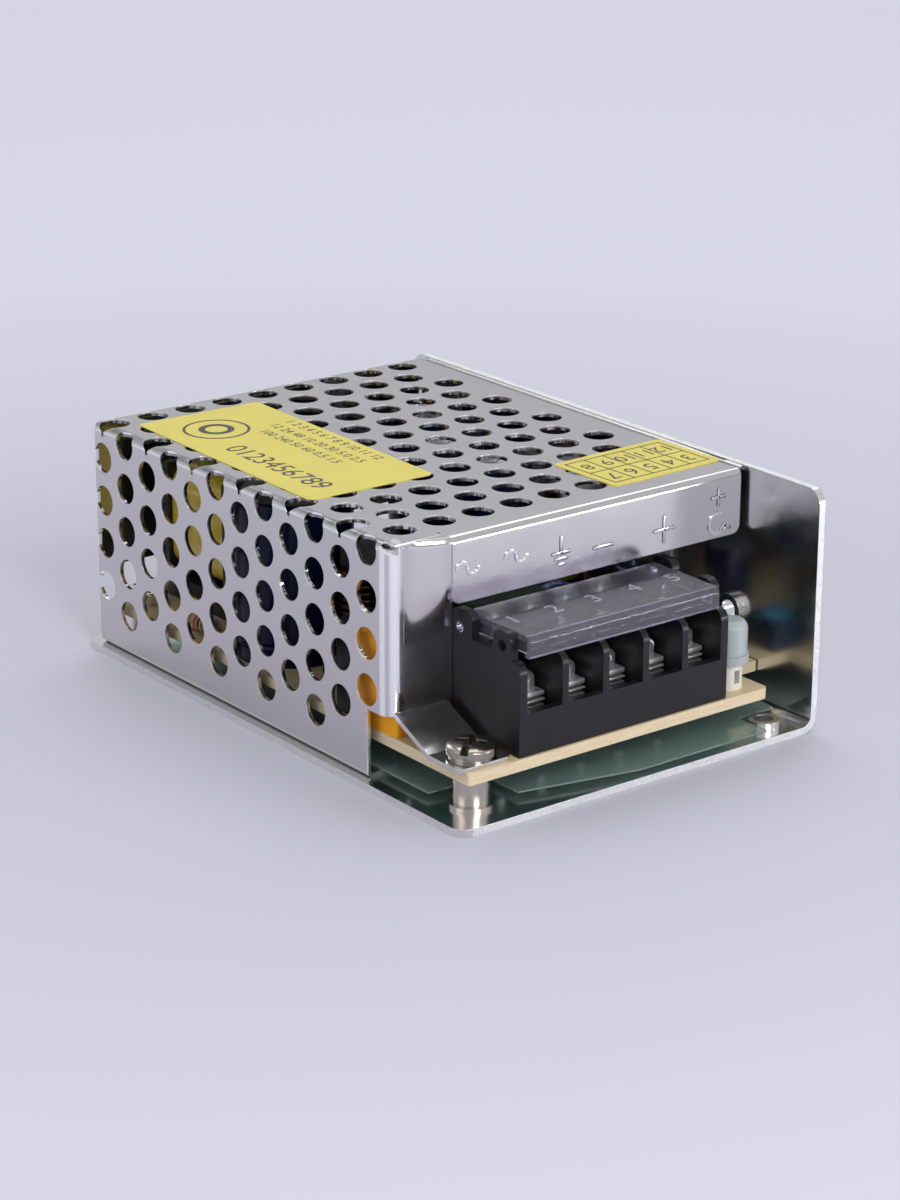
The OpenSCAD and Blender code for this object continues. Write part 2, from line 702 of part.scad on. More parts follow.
// Clear flap: top plate, front skirt, end skirts and the two hinge pins
module terminal_flap() {
    end_t = 0.7;
    back_y = hinge_y + 0.7;
    end_z0 = tb_z1 + 0.3;
    front_r = 1;
    groove = [0.15, 0.3];
    color("lightsteelblue", 0.5) {
        difference() {
            union() {
                along_x(flap_x0, flap_x1) {
                    translate([flap_y0, flap_z1 - flap_t]) square([back_y - flap_y0, flap_t]);
                    translate([flap_y0, flap_z1 - flap_skirt_h]) square([flap_t, flap_skirt_h]);
                }
                for (x = [flap_x0, flap_x1 - end_t])
                    along_x(x, x + end_t)
                        translate([flap_y0, end_z0]) square([back_y - flap_y0, flap_z1 - end_z0]);
            }
            along_x(flap_x0 - cut, flap_x1 + cut)
                translate([flap_y0, flap_z1]) rotate(270) corner_cut(front_r);
            // finger groove along the skirt
            translate([flap_x0 - cut, flap_y0 - cut, flap_z1 - 1.7])
                cube([flap_x1 - flap_x0 + 2 * cut, groove.x + cut, groove.y]);
        }
        for (x = [tb_x0, flap_x1 - seat_gap])
            translate([x, hinge_y, hinge_z]) rotate([0, 90, 0])
                cylinder(h = flap_x0 - tb_x0 + seat_gap, d = hinge_pin_d);
    }
}

// ---- Indicator and trimmer ----

// Flat-topped lamp standing on its spacer
module indicator_led() {
    body_d = 5;
    body_h = 5.7;
    seat_z = pcb_z1 + led_lift;
    color("honeydew", 0.8) translate([led_at.x, led_at.y, seat_z]) {
        cylinder(h = 1.2, d = body_d + 0.5);
        rotate_extrude() difference() {
            square([body_d / 2, body_h]);
            translate([body_d / 2, body_h]) rotate(180) corner_cut(1.2);
        }
    }
    color("silver") for (s = [-1, 1])
        translate([led_at.x + s * led_lead_x - 0.25, led_at.y - 0.25, pcb_z0 - 1])
            cube([0.5, 0.5, seat_z - pcb_z0 + 1.2]);
}

// Sleeve that holds the lamp above the board, open between its two lead bores
module led_spacer() {
    color("ivory") translate([led_at.x, led_at.y, pcb_z1]) difference() {
        cylinder(h = led_lift, d = 3.9);
        for (s = [-1, 1]) translate([s * led_lead_x, 0, -cut])
            cylinder(h = led_lift + 2 * cut, d = 0.8);
        translate([-0.45, -3, 0.9]) cube([0.9, 6, led_lift - 1.8]);
    }
}

module trimmer_body() {
    color("royalblue") translate([trimmer_at.x, trimmer_at.y, pcb_z1]) difference() {
        translate([-trimmer_w / 2, -trimmer_w / 2]) linear_extrude(trimmer_h)
            rounded_rect([trimmer_w, trimmer_w], 0.6);
        translate([0, 0, trimmer_h - 1.4]) cylinder(h = 2, d = rotor_d + 2 * seat_gap);
    }
}

module trimmer_rotor() {
    color("ivory") translate([trimmer_at.x, trimmer_at.y, pcb_z1 + trimmer_h - 1.4 + seat_gap])
        difference() {
            cylinder(h = 1.7, d = rotor_d);
            for (a = [0, 90])
                rotate(a) translate([-rotor_d * 0.36, -0.3, 0.9]) cube([rotor_d * 0.72, 0.6, 2]);
            rotate(45) translate([0, -0.2, 1.4]) cube([rotor_d, 0.4, 1]);
        }
}

// ---- Parts on the board ----

// Box with rounded upright edges and a rounded rim
module potted_box(size, r) {
    linear_extrude(size.z - r) rounded_rect([size.x, size.y], r);
    translate([0, 0, size.z - r]) intersection() {
        linear_extrude(r) rounded_rect([size.x, size.y], r);
        along_y(0, size.y) tombstone(size.x, r, r);
        along_x(0, size.x) tombstone(size.y, r, r);
    }
}

// Stands a part drawn at the origin in its place on the board: u counts from the board's
// left edge and v from the back of the corner flange, both in the usual room
module stand(u, v) {
    translate([pcb_x0 + u * fit.x, flange_back + v * fit.y, pcb_z1]) scale(part_scale) children();
}

module leads(z, points, d) {
    for (p = points) translate(p) cylinder(h = z, d = d);
}

module line_capacitor() {
    color("orange") stand(0.1, 0.3) potted_box([6, 13, 12.4], 0.5);
}

module film_capacitor() {
    color("darkgoldenrod") stand(13.4, 0.55) potted_box([12, 5, 14], 0.5);
}

// Closed ferrite frame standing in its two coils
module line_choke_core() {
    color([0.16, 0.16, 0.17]) stand(11.8, 17.3) translate([0, 0, 2])
        along_x(-2.5, 2.5) difference() {
            translate([-7.5, 0]) square([15, 15.5]);
            translate([-3.9, 3]) square([7.8, 9.5]);
        }
}

module line_choke_coils() {
    z0 = 5.1;
    coil_h = 9.2;
    cheek_t = 0.8;
    wire_r = 0.475;
    limb = [5.2, 3.8];
    color([0.6, 0.32, 0.14]) stand(11.8, 17.3) {
        for (s = [-1, 1]) translate([0, s * 5.7, z0]) difference() {
            union() {
                rotate_extrude() {
                    square([3.2, coil_h]);
                    for (z = [cheek_t + wire_r:2 * wire_r:coil_h - cheek_t])
                        translate([3.1, z]) circle(wire_r);
                }
                for (z = [0, coil_h - cheek_t]) translate([0, 0, z]) cylinder(h = cheek_t, d = 8);
            }
            translate([-limb.x / 2, -limb.y / 2, -cut]) cube([limb.x, limb.y, 12]);
        }
        // foot of the bobbin and the posts that carry the coils
        translate([-5.5, -8, 0]) linear_extrude(1.9) rounded_rect([11, 16], 0.8);
        for (s = [-1, 1]) translate([s * 4.2 - 1, -1, 0]) cube([2, 2, z0 + 1]);
    }
}

module fuse() {
    z = 3;
    stand(33.4, 3.35) {
        color("ivory") {
            translate([-4, 0, z]) rotate([0, 90, 0]) cylinder(h = 8, d = 3.8);
            for (s = [-1, 1]) translate([s * 4 - 1.25, 0, z]) rotate([0, 90, 0]) cylinder(h = 2.5, d = 4.3);
        }
        color("silver") for (s = [0, 1]) mirror([s, 0, 0]) translate([6.2, 0, 0]) {
            cylinder(h = z, d = 0.8);
            translate([0, 0, z]) sphere(d = 0.8);
            translate([-1.2, 0, z]) rotate([0, 90, 0]) cylinder(h = 1.2, d = 0.8);
        }
    }
}

// Dipped disc on two leads; its axis runs along Y
module disc(d, t, lift, spread = 5) {
    r = t * 0.45;
    translate([0, 0, lift + d / 2]) rotate([90, 0, 0]) rotate_extrude() intersection() {
        union() {
            translate([0, -t / 2]) square([d / 2 - r, t]);
            translate([d / 2 - r, 0]) scale([1, t / 2 / r]) circle(r);
        }
        translate([0, -t]) square([d, 2 * t]);
    }
    leads(lift + d * 0.3, [[-spread / 2, 0], [spread / 2, 0]], 0.7);
}

module thermistor() {
    color("darkgreen") stand(20.9, 9.55) disc(9, 3.6, 2);
}

module varistor() {
    color("steelblue") stand(31.4, 8.15) disc(10, 4, 2);
}

module safety_capacitor() {
    color("cornflowerblue") stand(30.8, 47.1) disc(7, 3, 2.4);
}

module bridge_rectifier() {
    stand(24.9, 17.3) {
        color([0.15, 0.15, 0.16]) translate([0, 0, 3]) along_y(-1.75, 1.75) difference() {
            translate([-7.5, 0]) square([15, 11]);
            translate([7.5, 11]) rotate(225) square([3, 5], center = true);
        }
        color("silver") leads(3.5, [for (k = [-1.5:1.5]) [k * 3.8, 0]], 0.9);
    }
}

// Can with its sleeve turned over the rim and a scored pressure vent on top
module can_capacitor(d, h) {
    rim = 0.7;
    groove = 0.35;
    difference() {
        rotate_extrude() difference() {
            union() {
                square([d / 2 - rim, h]);
                square([d / 2, h - rim]);
                translate([d / 2 - rim, h - rim]) circle(rim);
            }
            translate([0, h - groove]) square([d / 2 - 1.3, 1]);
            translate([d / 2 + 0.05, 2.6]) circle(0.6);
        }
        for (a = [0, 90]) rotate(a + 30)
            translate([-d * 0.3, -0.15, h - groove - 0.25]) cube([d * 0.6, 0.3, 1]);
    }
}

module reservoir_capacitor() {
    color("midnightblue") stand(reservoir_d / 2 + 0.6, 34.8) can_capacitor(reservoir_d, reservoir_h);
}

module output_capacitor(u, v) {
    color("darkslateblue") stand(u, v) can_capacitor(output_cap_d, output_cap_h);
}

module auxiliary_capacitors() {
    color("midnightblue") {
        stand(19.9, 39.3) can_capacitor(5, 11);
        stand(46.4, 8.8) can_capacitor(6.3, 11);
    }
}

// Stands the transformer's pieces with its front face across the back of the board
module stand_transformer() {
    stand(winding_w / 2 + 6.4, usual_room.y - core_l / 2 - 1.6) children();
}

module transformer_core() {
    half_window = (window_h - core_limb) / 2;
    color([0.2, 0.2, 0.21]) stand_transformer() translate([0, 0, core_lift])
        along_x(-core_t / 2, core_t / 2) difference() {
            translate([-core_l / 2, 0]) square([core_l, core_h]);
            for (z = [core_leg, core_leg + half_window + core_limb])
                translate([-window_l / 2, z]) square([window_l, half_window]);
        }
}

// Bobbin: tube on the middle limb, two cheeks and the pin rails that stand on the board
module transformer_bobbin() {
    l = window_l - 2 * bobbin_gap;
    h = window_h - 2 * bobbin_gap;
    cheek_t = 0.9;
    rail_h = 3.2;
    tube = [core_t + 2 * bobbin_t, core_limb + 2 * bobbin_t];
    bore = [core_t + 2 * bobbin_gap, core_limb + 2 * bobbin_gap];
    color([0.24, 0.22, 0.2]) stand_transformer() {
        translate([0, 0, core_mid_z]) difference() {
            union() {
                along_y(-l / 2, l / 2) square(tube, center = true);
                for (y = [-l / 2, l / 2 - cheek_t])
                    along_y(y, y + cheek_t) square([winding_w + 1.2, h], center = true);
            }
            along_y(-core_l, core_l) square(bore, center = true);
        }
        for (s = [0, 1]) mirror([s, 0, 0])
            translate([bore.x / 2, -core_l / 2 + 1, 0])
                cube([winding_w / 2 - 1 - bore.x / 2, core_l - 2, rail_h]);
        // webs from the rails up to the cheeks
        for (x = [-1, 1], y = [-1, 1])
            translate([x * (core_t / 2 + 2.2) - 1, y * (l - cheek_t) / 2 - cheek_t / 2, rail_h - 0.2])
                cube([2, cheek_t, core_mid_z - h / 2 - rail_h + 1.2]);
    }
}

module transformer_winding() {
    size = [winding_w, window_h - 1];
    length = window_l - 2 * bobbin_gap - 2;
    hole = [core_t + 2 * (bobbin_t + bobbin_gap), core_limb + 2 * (bobbin_t + bobbin_gap)];
    color("khaki") stand_transformer() translate([0, 0, core_mid_z])
        along_y(-length / 2, length / 2) difference() {
            translate(-size / 2) rounded_rect(size, 3);
            square(hole, center = true);
        }
}

// Power device with its metal tab against the wall
module power_device(y) {
    body_h = 9;
    translate([device_x1, y, pcb_z1]) scale(part_scale) {
        color([0.14, 0.14, 0.15]) translate([-4.5, -device_w / 2, device_lead_h])
            cube([4.3, device_w, body_h]);
        color("silver") {
            difference() {
                translate([-tab_t, -device_w / 2, device_lead_h + 0.2])
                    cube([tab_t, device_w, device_h - 0.2]);
                translate([cut, 0, device_lead_h + device_h - 2.8]) rotate([0, -90, 0])
                    cylinder(h = tab_t + 2 * cut, d = 3.6);
            }
            for (k = [-1:1]) translate([-2.7, k * 2.54 - 0.4, 0]) cube([0.5, 0.8, device_lead_h + 0.5]);
        }
    }
}

module insulating_pads() {
    size = [(device_w + 1.8) * part_scale, (device_h + 1.4) * part_scale];
    color("gainsboro") for (y = devices_y) difference() {
        translate([device_x1, y - size.x / 2, pcb_z1 + 1.2]) cube([pad_t, size.x, size.y]);
        translate([device_x1 - cut, y, device_screw_z]) rotate([0, 90, 0])
            cylinder(h = pad_t + 2 * cut, d = screw_hole_d);
    }
}

module device_screws() {
    length = base_t + pad_t + tab_t * part_scale + 2.6;
    color("whitesmoke") for (y = devices_y) translate([x_right, y, device_screw_z])
        rotate([0, 90, 0]) machine_screw(screw_d, length, wall_screw_head_d, wall_screw_head_h);
}

module device_nuts() {
    color("gainsboro") for (y = devices_y)
        translate([device_x1 - tab_t * part_scale, y, device_screw_z]) rotate([0, -90, 0]) difference() {
            cylinder(h = 2.2, d = 6.1, $fn = 6);
            translate([0, 0, -cut]) cylinder(h = 5, d = screw_d + 2 * seat_gap);
        }
}

// Winding on a ring core that stands on its edge
module output_choke() {
    ring_r = 6.6;
    bore_r = 2.3;
    color("peru") stand(49, 30.9) translate([0, 0, ring_r]) rotate([0, 90, 0]) rotate_extrude()
        translate([bore_r, -3]) rounded_rect([ring_r - bore_r, 6], 1.3);
}

// Moulded chip on two rows of pins, its body's corner at the origin
module dual_in_line(l, pins) {
    w = 6.4;
    color([0.15, 0.15, 0.16]) translate([0, 0, 0.6]) cube([w, l, 3.4]);
    color("silver") for (k = [0:pins - 1]) translate([0, (l - (pins - 1) * 2.54) / 2 + k * 2.54 - 0.3, 0]) {
        for (x = [-0.7, w + 0.3]) translate([x, 0, 0]) cube([0.4, 0.6, 2.2]);
        translate([-0.7, 0, 1.8]) cube([w + 1.4, 0.6, 0.4]);
    }
}

module optocoupler() {
    stand(32.6, 51.9) rotate(90) dual_in_line(4.6, 2);
}

module controller_chip() {
    stand(19.4, 26.9) dual_in_line(9.4, 4);
}

module resistors() {
    places = [[38.9, 16.8, 0], [38.9, 20.3, 0], [2.2, 47.3, 90], [30.4, 22.1, 0], [47.9, 62.9, 0]];
    z = 1.5;
    for (p = places) stand(p.x, p.y) rotate(p.z) {
        color("tan") translate([-3.1, 0, z]) rotate([0, 90, 0]) cylinder(h = 6.2, d = 2.4);
        color("silver") {
            translate([-4.6, 0, z]) rotate([0, 90, 0]) cylinder(h = 9.2, d = 0.6);
            leads(z + 0.1, [[-4.4, 0], [4.4, 0]], 0.6);
        }
    }
}

// ---- The nodes ----

base_chassis();
mesh_cover();
cover_screws();
circuit_board();
insulating_sheet();
spacer(foot_screw_at);  // spacer_front
spacer(rear_left_at);  // spacer_rear_left
spacer(rear_right_at);  // spacer_rear_right
board_screw(foot_screw_at, cover_t);  // foot_screw
board_screw(rear_left_at, 0);  // board_screw_left
board_screw(rear_right_at, 0);  // board_screw_right
terminal_block();
terminal_contacts();
clamp_plate(0);  // clamp_plate_1
clamp_plate(1);  // clamp_plate_2
clamp_plate(2);  // clamp_plate_3
clamp_plate(3);  // clamp_plate_4
clamp_plate(4);  // clamp_plate_5
terminal_screw(0);  // terminal_screw_1
terminal_screw(1);  // terminal_screw_2
terminal_screw(2);  // terminal_screw_3
terminal_screw(3);  // terminal_screw_4
terminal_screw(4);  // terminal_screw_5
terminal_flap();
indicator_led();
led_spacer();
trimmer_body();
trimmer_rotor();
line_capacitor();
line_choke_core();
line_choke_coils();
fuse();
thermistor();
varistor();
bridge_rectifier();
reservoir_capacitor();
transformer_core();
transformer_bobbin();
transformer_winding();
power_device(devices_y[0]);  // switch_transistor
power_device(devices_y[1]);  // rectifier_diode
insulating_pads();
device_screws();
device_nuts();
output_capacitor(38.4, 29.3);  // output_capacitor_1
output_capacitor(38.4, 30.1 + output_cap_d);  // output_capacitor_2
output_capacitor(45, 54.1);  // output_capacitor_3
output_choke();
safety_capacitor();
optocoupler();
controller_chip();
film_capacitor();
auxiliary_capacitors();
resistors();
large_label();
small_label();
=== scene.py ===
"""Looks of a mesh case switching power supply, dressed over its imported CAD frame.

Every length in a constant or a dataclass field is in millimetres; MM turns it into
the metres that Blender and the frame use. X runs along the terminal block, Y to the
back and Z up, with the origin at the centre of the chassis underside.
"""

import logging
import math
from dataclasses import dataclass, field
from enum import Enum
from functools import partial, reduce
from typing import ClassVar, Iterable, Sequence

import bmesh
import bpy
from mathutils import Matrix, Vector


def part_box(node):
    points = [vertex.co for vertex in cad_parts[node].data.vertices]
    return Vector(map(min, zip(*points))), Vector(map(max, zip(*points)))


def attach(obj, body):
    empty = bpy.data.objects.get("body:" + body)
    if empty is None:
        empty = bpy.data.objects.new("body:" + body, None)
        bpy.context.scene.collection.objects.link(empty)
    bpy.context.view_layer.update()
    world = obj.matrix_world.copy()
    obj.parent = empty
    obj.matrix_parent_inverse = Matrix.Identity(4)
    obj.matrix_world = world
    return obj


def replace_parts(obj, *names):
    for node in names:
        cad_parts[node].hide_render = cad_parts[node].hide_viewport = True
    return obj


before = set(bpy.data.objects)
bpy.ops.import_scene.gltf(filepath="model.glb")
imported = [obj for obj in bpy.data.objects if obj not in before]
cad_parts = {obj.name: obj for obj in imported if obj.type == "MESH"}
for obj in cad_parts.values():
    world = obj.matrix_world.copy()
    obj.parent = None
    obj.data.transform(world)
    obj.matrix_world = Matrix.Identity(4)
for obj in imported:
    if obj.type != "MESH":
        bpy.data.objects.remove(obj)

MM = 0.001
CASE = "case"
Colour = tuple[float, float, float]
Vec = tuple[float, float, float]
Socket = bpy.types.NodeSocket
Value = Socket | float | Sequence[float]
log = logging.getLogger("power_supply")


# ---- Frame helpers -------------------------------------------------------


@dataclass(frozen=True)
class Box:
    """A node's box at rest, in millimetres."""

    low: Vector
    high: Vector

    @staticmethod
    def of(node: str) -> "Box":
        """Return the box of a CAD node.

        Args:
            node: name of the node.

        Returns:
            Its box in millimetres.
        """
        low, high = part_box(node)
        return Box(low / MM, high / MM)

    @property
    def centre(self) -> Vector:
        """Middle of the box."""
        return (self.low + self.high) / 2

    @property
    def size(self) -> Vector:
        """Edge lengths of the box."""
        return self.high - self.low


class Axis(Enum):
    """Coordinate that a finish or a piece can run along."""

    X = 0
    Y = 1
    Z = 2


def merged(node: str) -> bmesh.types.BMesh:
    """Copy a CAD node's mesh and join its loose triangles.

    Args:
        node: name of the node.

    Returns:
        The copy, in metres.
    """
    shape = bmesh.new()
    shape.from_mesh(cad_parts[node].data)
    bmesh.ops.remove_doubles(shape, verts=shape.verts, dist=1e-6)
    return shape


def linked(seed: Iterable[bmesh.types.BMVert]) -> set[bmesh.types.BMVert]:
    """Collect some vertices and all that edges join to them.

    Args:
        seed: the vertices to start from.

    Returns:
        All the vertices reached.
    """
    waiting = list(seed)
    found = set(waiting)
    while waiting:
        for edge in waiting.pop().link_edges:
            for vert in edge.verts:
                if vert not in found:
                    found.add(vert)
                    waiting.append(vert)
    return found


def solids(node: str) -> list[Box]:
    """Find the separate solids of a CAD node.

    Args:
        node: name of the node.

    Returns:
        The box of each solid, in millimetres.
    """
    shape = merged(node)
    seen: set[bmesh.types.BMVert] = set()
    boxes = []
    for start in shape.verts:
        if start not in seen:
            island = linked([start])
            seen |= island
            spread = list(zip(*(vert.co / MM for vert in island)))
            boxes.append(Box(Vector(map(min, spread)), Vector(map(max, spread))))
    shape.free()
    return boxes


# ---- Node graphs ---------------------------------------------------------


class Graph:
    """A material's node tree, with short calls for the nodes the finishes need."""

    def __init__(self, name: str) -> None:
        """Start a material with a Principled shader.

        Args:
            name: name of the material.
        """
        self.material = bpy.data.materials.new(name)
        self.material.use_nodes = True
        self.tree = self.material.node_tree
        self.shader = self.tree.nodes["Principled BSDF"]
        self._position: Socket | None = None

    def node(
        self, kind: str, inputs: dict[str | int, object] | None = None, **settings: object
    ) -> bpy.types.Node:
        """Add a node.

        Args:
            kind: node type.
            inputs: socket names or numbers with a value or a socket each.
            settings: the node's own settings.

        Returns:
            The node.
        """
        made = self.tree.nodes.new(kind)
        for key, value in settings.items():
            setattr(made, key, value)
        for key, value in (inputs or {}).items():
            self.feed(made.inputs[key], value)
        return made

    def feed(self, socket: Socket, value: Value) -> None:
        """Link a socket to another one, or give it a value.

        Args:
            socket: the socket to feed.
            value: the other socket or the value.
        """
        if isinstance(value, Socket):
            self.tree.links.new(value, socket)
        else:
            socket.default_value = value

    def set(self, **values: Value) -> None:
        """Set the shader's sockets, named with underscores for spaces."""
        for key, value in values.items():
            self.feed(self.shader.inputs[key.replace("_", " ")], value)

    @property
    def position(self) -> Socket:
        """Object coordinates in millimetres."""
        if self._position is None:
            source = self.node("ShaderNodeTexCoord").outputs["Object"]
            scaled = self.node(
                "ShaderNodeVectorMath", {0: source, 3: 1 / MM}, operation="SCALE"
            )
            self._position = scaled.outputs["Vector"]
        return self._position

    def axis(self, axis: Axis) -> Socket:
        """One coordinate in millimetres."""
        return self.node("ShaderNodeSeparateXYZ", {0: self.position}).outputs[axis.value]

    def math(self, operation: str, *values: Value, clamp: bool = False) -> Socket:
        """Combine numbers or sockets with a Math node.

        Args:
            operation: the node's operation.
            values: what it takes in.
            clamp: whether the result is kept from 0 to 1.

        Returns:
            The result.
        """
        made = self.node(
            "ShaderNodeMath", dict(enumerate(values)), operation=operation, use_clamp=clamp
        )
        return made.outputs[0]

    def times(self, *factors: Value) -> Socket:
        """Multiply numbers or sockets."""
        return reduce(partial(self.math, "MULTIPLY"), factors)

    def plus(self, first: Value, second: Value, clamp: bool = False) -> Socket:
        """Add two numbers or sockets."""
        return self.math("ADD", first, second, clamp=clamp)

    def minus(self, first: Value, second: Value) -> Socket:
        """Subtract the second from the first."""
        return self.math("SUBTRACT", first, second)

    def less(self, value: Value, limit: float) -> Socket:
        """Mask that is 1 where a value is under a limit."""
        return self.math("LESS_THAN", value, limit)

    def more(self, value: Value, limit: float) -> Socket:
        """Mask that is 1 where a value is over a limit."""
        return self.math("GREATER_THAN", value, limit)

    def zigzag(self, value: Value, length: float) -> Socket:
        """Let a value rise to a length and fall back, again and again."""
        return self.math("PINGPONG", value, length)

    def given(self, name: str) -> Socket:
        """Socket that feeds one of the shader's inputs so far."""
        return self.shader.inputs[name].links[0].from_socket

    def noise(
        self, size: float, detail: float = 3.0, roughness: float = 0.5, stretch: Vec = (1, 1, 1)
    ) -> Socket:
        """Return a noise of a given grain.

        Args:
            size: size of its features in millimetres.
            detail: how many finer layers it has.
            roughness: strength of the finer layers.
            stretch: factors that lengthen the features along each axis.

        Returns:
            A value around 0.5.
        """
        place = self.node(
            "ShaderNodeMapping", {"Vector": self.position, "Scale": [1 / s for s in stretch]}
        ).outputs[0]
        return self.node(
            "ShaderNodeTexNoise",
            {"Vector": place, "Scale": 1 / size, "Detail": detail, "Roughness": roughness},
        ).outputs["Fac"]

    def remap(
        self, value: Value, low: float, high: float, to_low: float, to_high: float
    ) -> Socket:
        """Map a range onto another one, clamped.

        Args:
            value: what is mapped.
            low: start of its range.
            high: end of its range.
            to_low: what the start becomes.
            to_high: what the end becomes.

        Returns:
            The mapped value.
        """
        return self.node(
            "ShaderNodeMapRange", {0: value, 1: low, 2: high, 3: to_low, 4: to_high}
        ).outputs[0]

    def spread(self, noise: Socket, low: float, high: float) -> Socket:
        """Stretch the middle of a noise over a range."""
        return self.remap(noise, 0.3, 0.7, low, high)

    def mix(self, factor: Value, first: Value, second: Value) -> Socket:
        """Blend two colours.

        Args:
            factor: share of the second colour.
            first: the first colour, or its socket.
            second: the second colour, or its socket.

        Returns:
            The blend.
        """
        made = self.node("ShaderNodeMix", data_type="RGBA")
        self.feed(made.inputs[0], factor)
        self.feed(made.inputs[6], rgba(first))
        self.feed(made.inputs[7], rgba(second))
        return made.outputs[2]

    def bump(
        self, height: Socket, strength: float, depth: float, normal: Socket | None = None
    ) -> Socket:
        """Turn a height into a normal.

        Args:
            height: the height socket.
            strength: strength from 0 to 1.
            depth: depth in millimetres that one unit of height stands for.
            normal: normal to start from.

        Returns:
            The bumped normal.
        """
        made = self.node(
            "ShaderNodeBump", {"Strength": strength, "Distance": depth * MM, "Height": height}
        )
        if normal is not None:
            self.feed(made.inputs["Normal"], normal)
        return made.outputs[0]

    def rounded(self, radius: float) -> Socket:
        """Normal with the edges rounded to a radius in millimetres."""
        return self.node("ShaderNodeBevel", {"Radius": radius * MM}, samples=4).outputs[0]

    def between(self, value: Value, low: float, high: float, soft: float) -> Socket:
        """Mask a range of a value.

        Args:
            value: the value.
            low: start of the range.
            high: end of the range.
            soft: half the width of its soft limits.

        Returns:
            1 in the range and 0 elsewhere.
        """
        rise = self.remap(value, low - soft, low + soft, 0, 1)
        fall = self.remap(value, high - soft, high + soft, 1, 0)
        return self.times(rise, fall)

    def inside(self, boxes: Iterable[Box], soft: float = 0.02) -> Socket:
        """Mask the room inside some boxes.

        Args:
            boxes: the boxes.
            soft: half the width of their soft limits.

        Returns:
            1 inside any of them and 0 elsewhere.
        """
        total = 0.0
        for box in boxes:
            spans = [
                self.between(self.axis(axis), box.low[axis.value], box.high[axis.value], soft)
                for axis in Axis
            ]
            total = self.plus(total, self.times(*spans), clamp=True)
        return total

    def distance(self, centre: tuple[float, float], axis: Axis = Axis.Z) -> Socket:
        """Distance from a line along an axis, in millimetres.

        Args:
            centre: where the line stands in the two other coordinates.
            axis: the line's direction.

        Returns:
            The distance.
        """
        squares = []
        for other, middle in zip([a for a in Axis if a is not axis], centre):
            offset = self.minus(self.axis(other), middle)
            squares.append(self.times(offset, offset))
        return self.math("SQRT", self.plus(*squares))


def rgba(colour: Value) -> Value:
    """Give a plain colour its alpha, and leave a socket as it is."""
    return (*colour, 1.0) if isinstance(colour, tuple) and len(colour) == 3 else colour


# ---- Finishes ------------------------------------------------------------


Band = tuple[float, float, float]
WHITE: Colour = (1.0, 1.0, 1.0)
# near-white base colour of the painted highlights on the cover's folds
PAINTED_HIGHLIGHT: Colour = (0.97, 0.97, 0.98)
BARE_METAL: Colour = (0.72, 0.72, 0.73)


def darker(colour: Colour, factor: float) -> Colour:
    """A colour times a factor."""
    return tuple(part * factor for part in colour)


@dataclass(frozen=True)
class Finish:
    """A surface finish that builds its own material."""

    name: str
    colour: Colour

    def material(self) -> bpy.types.Material:
        """Build the material.

        Returns:
            The finished material.
        """
        graph = Graph(self.name)
        self.dress(graph)
        return graph.material

    def dress(self, graph: Graph) -> None:
        """Set up the shader; each kind of finish has its own."""
        raise NotImplementedError


@dataclass(frozen=True)
class Metal(Finish):
    """Plated, rolled or turned metal with smudges and softly broken edges."""

    roughness: float = 0.2
    smudge: float = 0.12
    wave: float = 0.0
    grain: float = 0.0
    edge: float = 0.06
    smudge_size: ClassVar[float] = 7.0
    speck_size: ClassVar[float] = 0.5
    wave_size: ClassVar[float] = 14.0
    grain_size: ClassVar[float] = 0.12

    def dress(self, graph: Graph) -> None:
        """Mottle the roughness, wave the sheet and round its edges.

        Args:
            graph: the material's graph.
        """
        cloud = graph.noise(self.smudge_size, 4.0, 0.6)
        speck = graph.noise(self.speck_size, 3.0, 0.6)
        uneven = graph.plus(graph.times(cloud, 0.7), graph.times(speck, 0.3))
        low = max(0.03, self.roughness - self.smudge / 2)
        graph.set(
            Metallic=1.0,
            Base_Color=graph.mix(uneven, darker(self.colour, 0.9), self.colour),
            Roughness=graph.spread(uneven, low, low + self.smudge),
        )
        normal = graph.rounded(self.edge) if self.edge else None
        if self.wave:
            normal = graph.bump(graph.noise(self.wave_size, 1.0), 1.0, self.wave, normal)
        if self.grain:
            normal = graph.bump(graph.noise(self.grain_size, 2.0, 0.6), 0.3, self.grain, normal)
        if normal is not None:
            graph.set(Normal=normal)


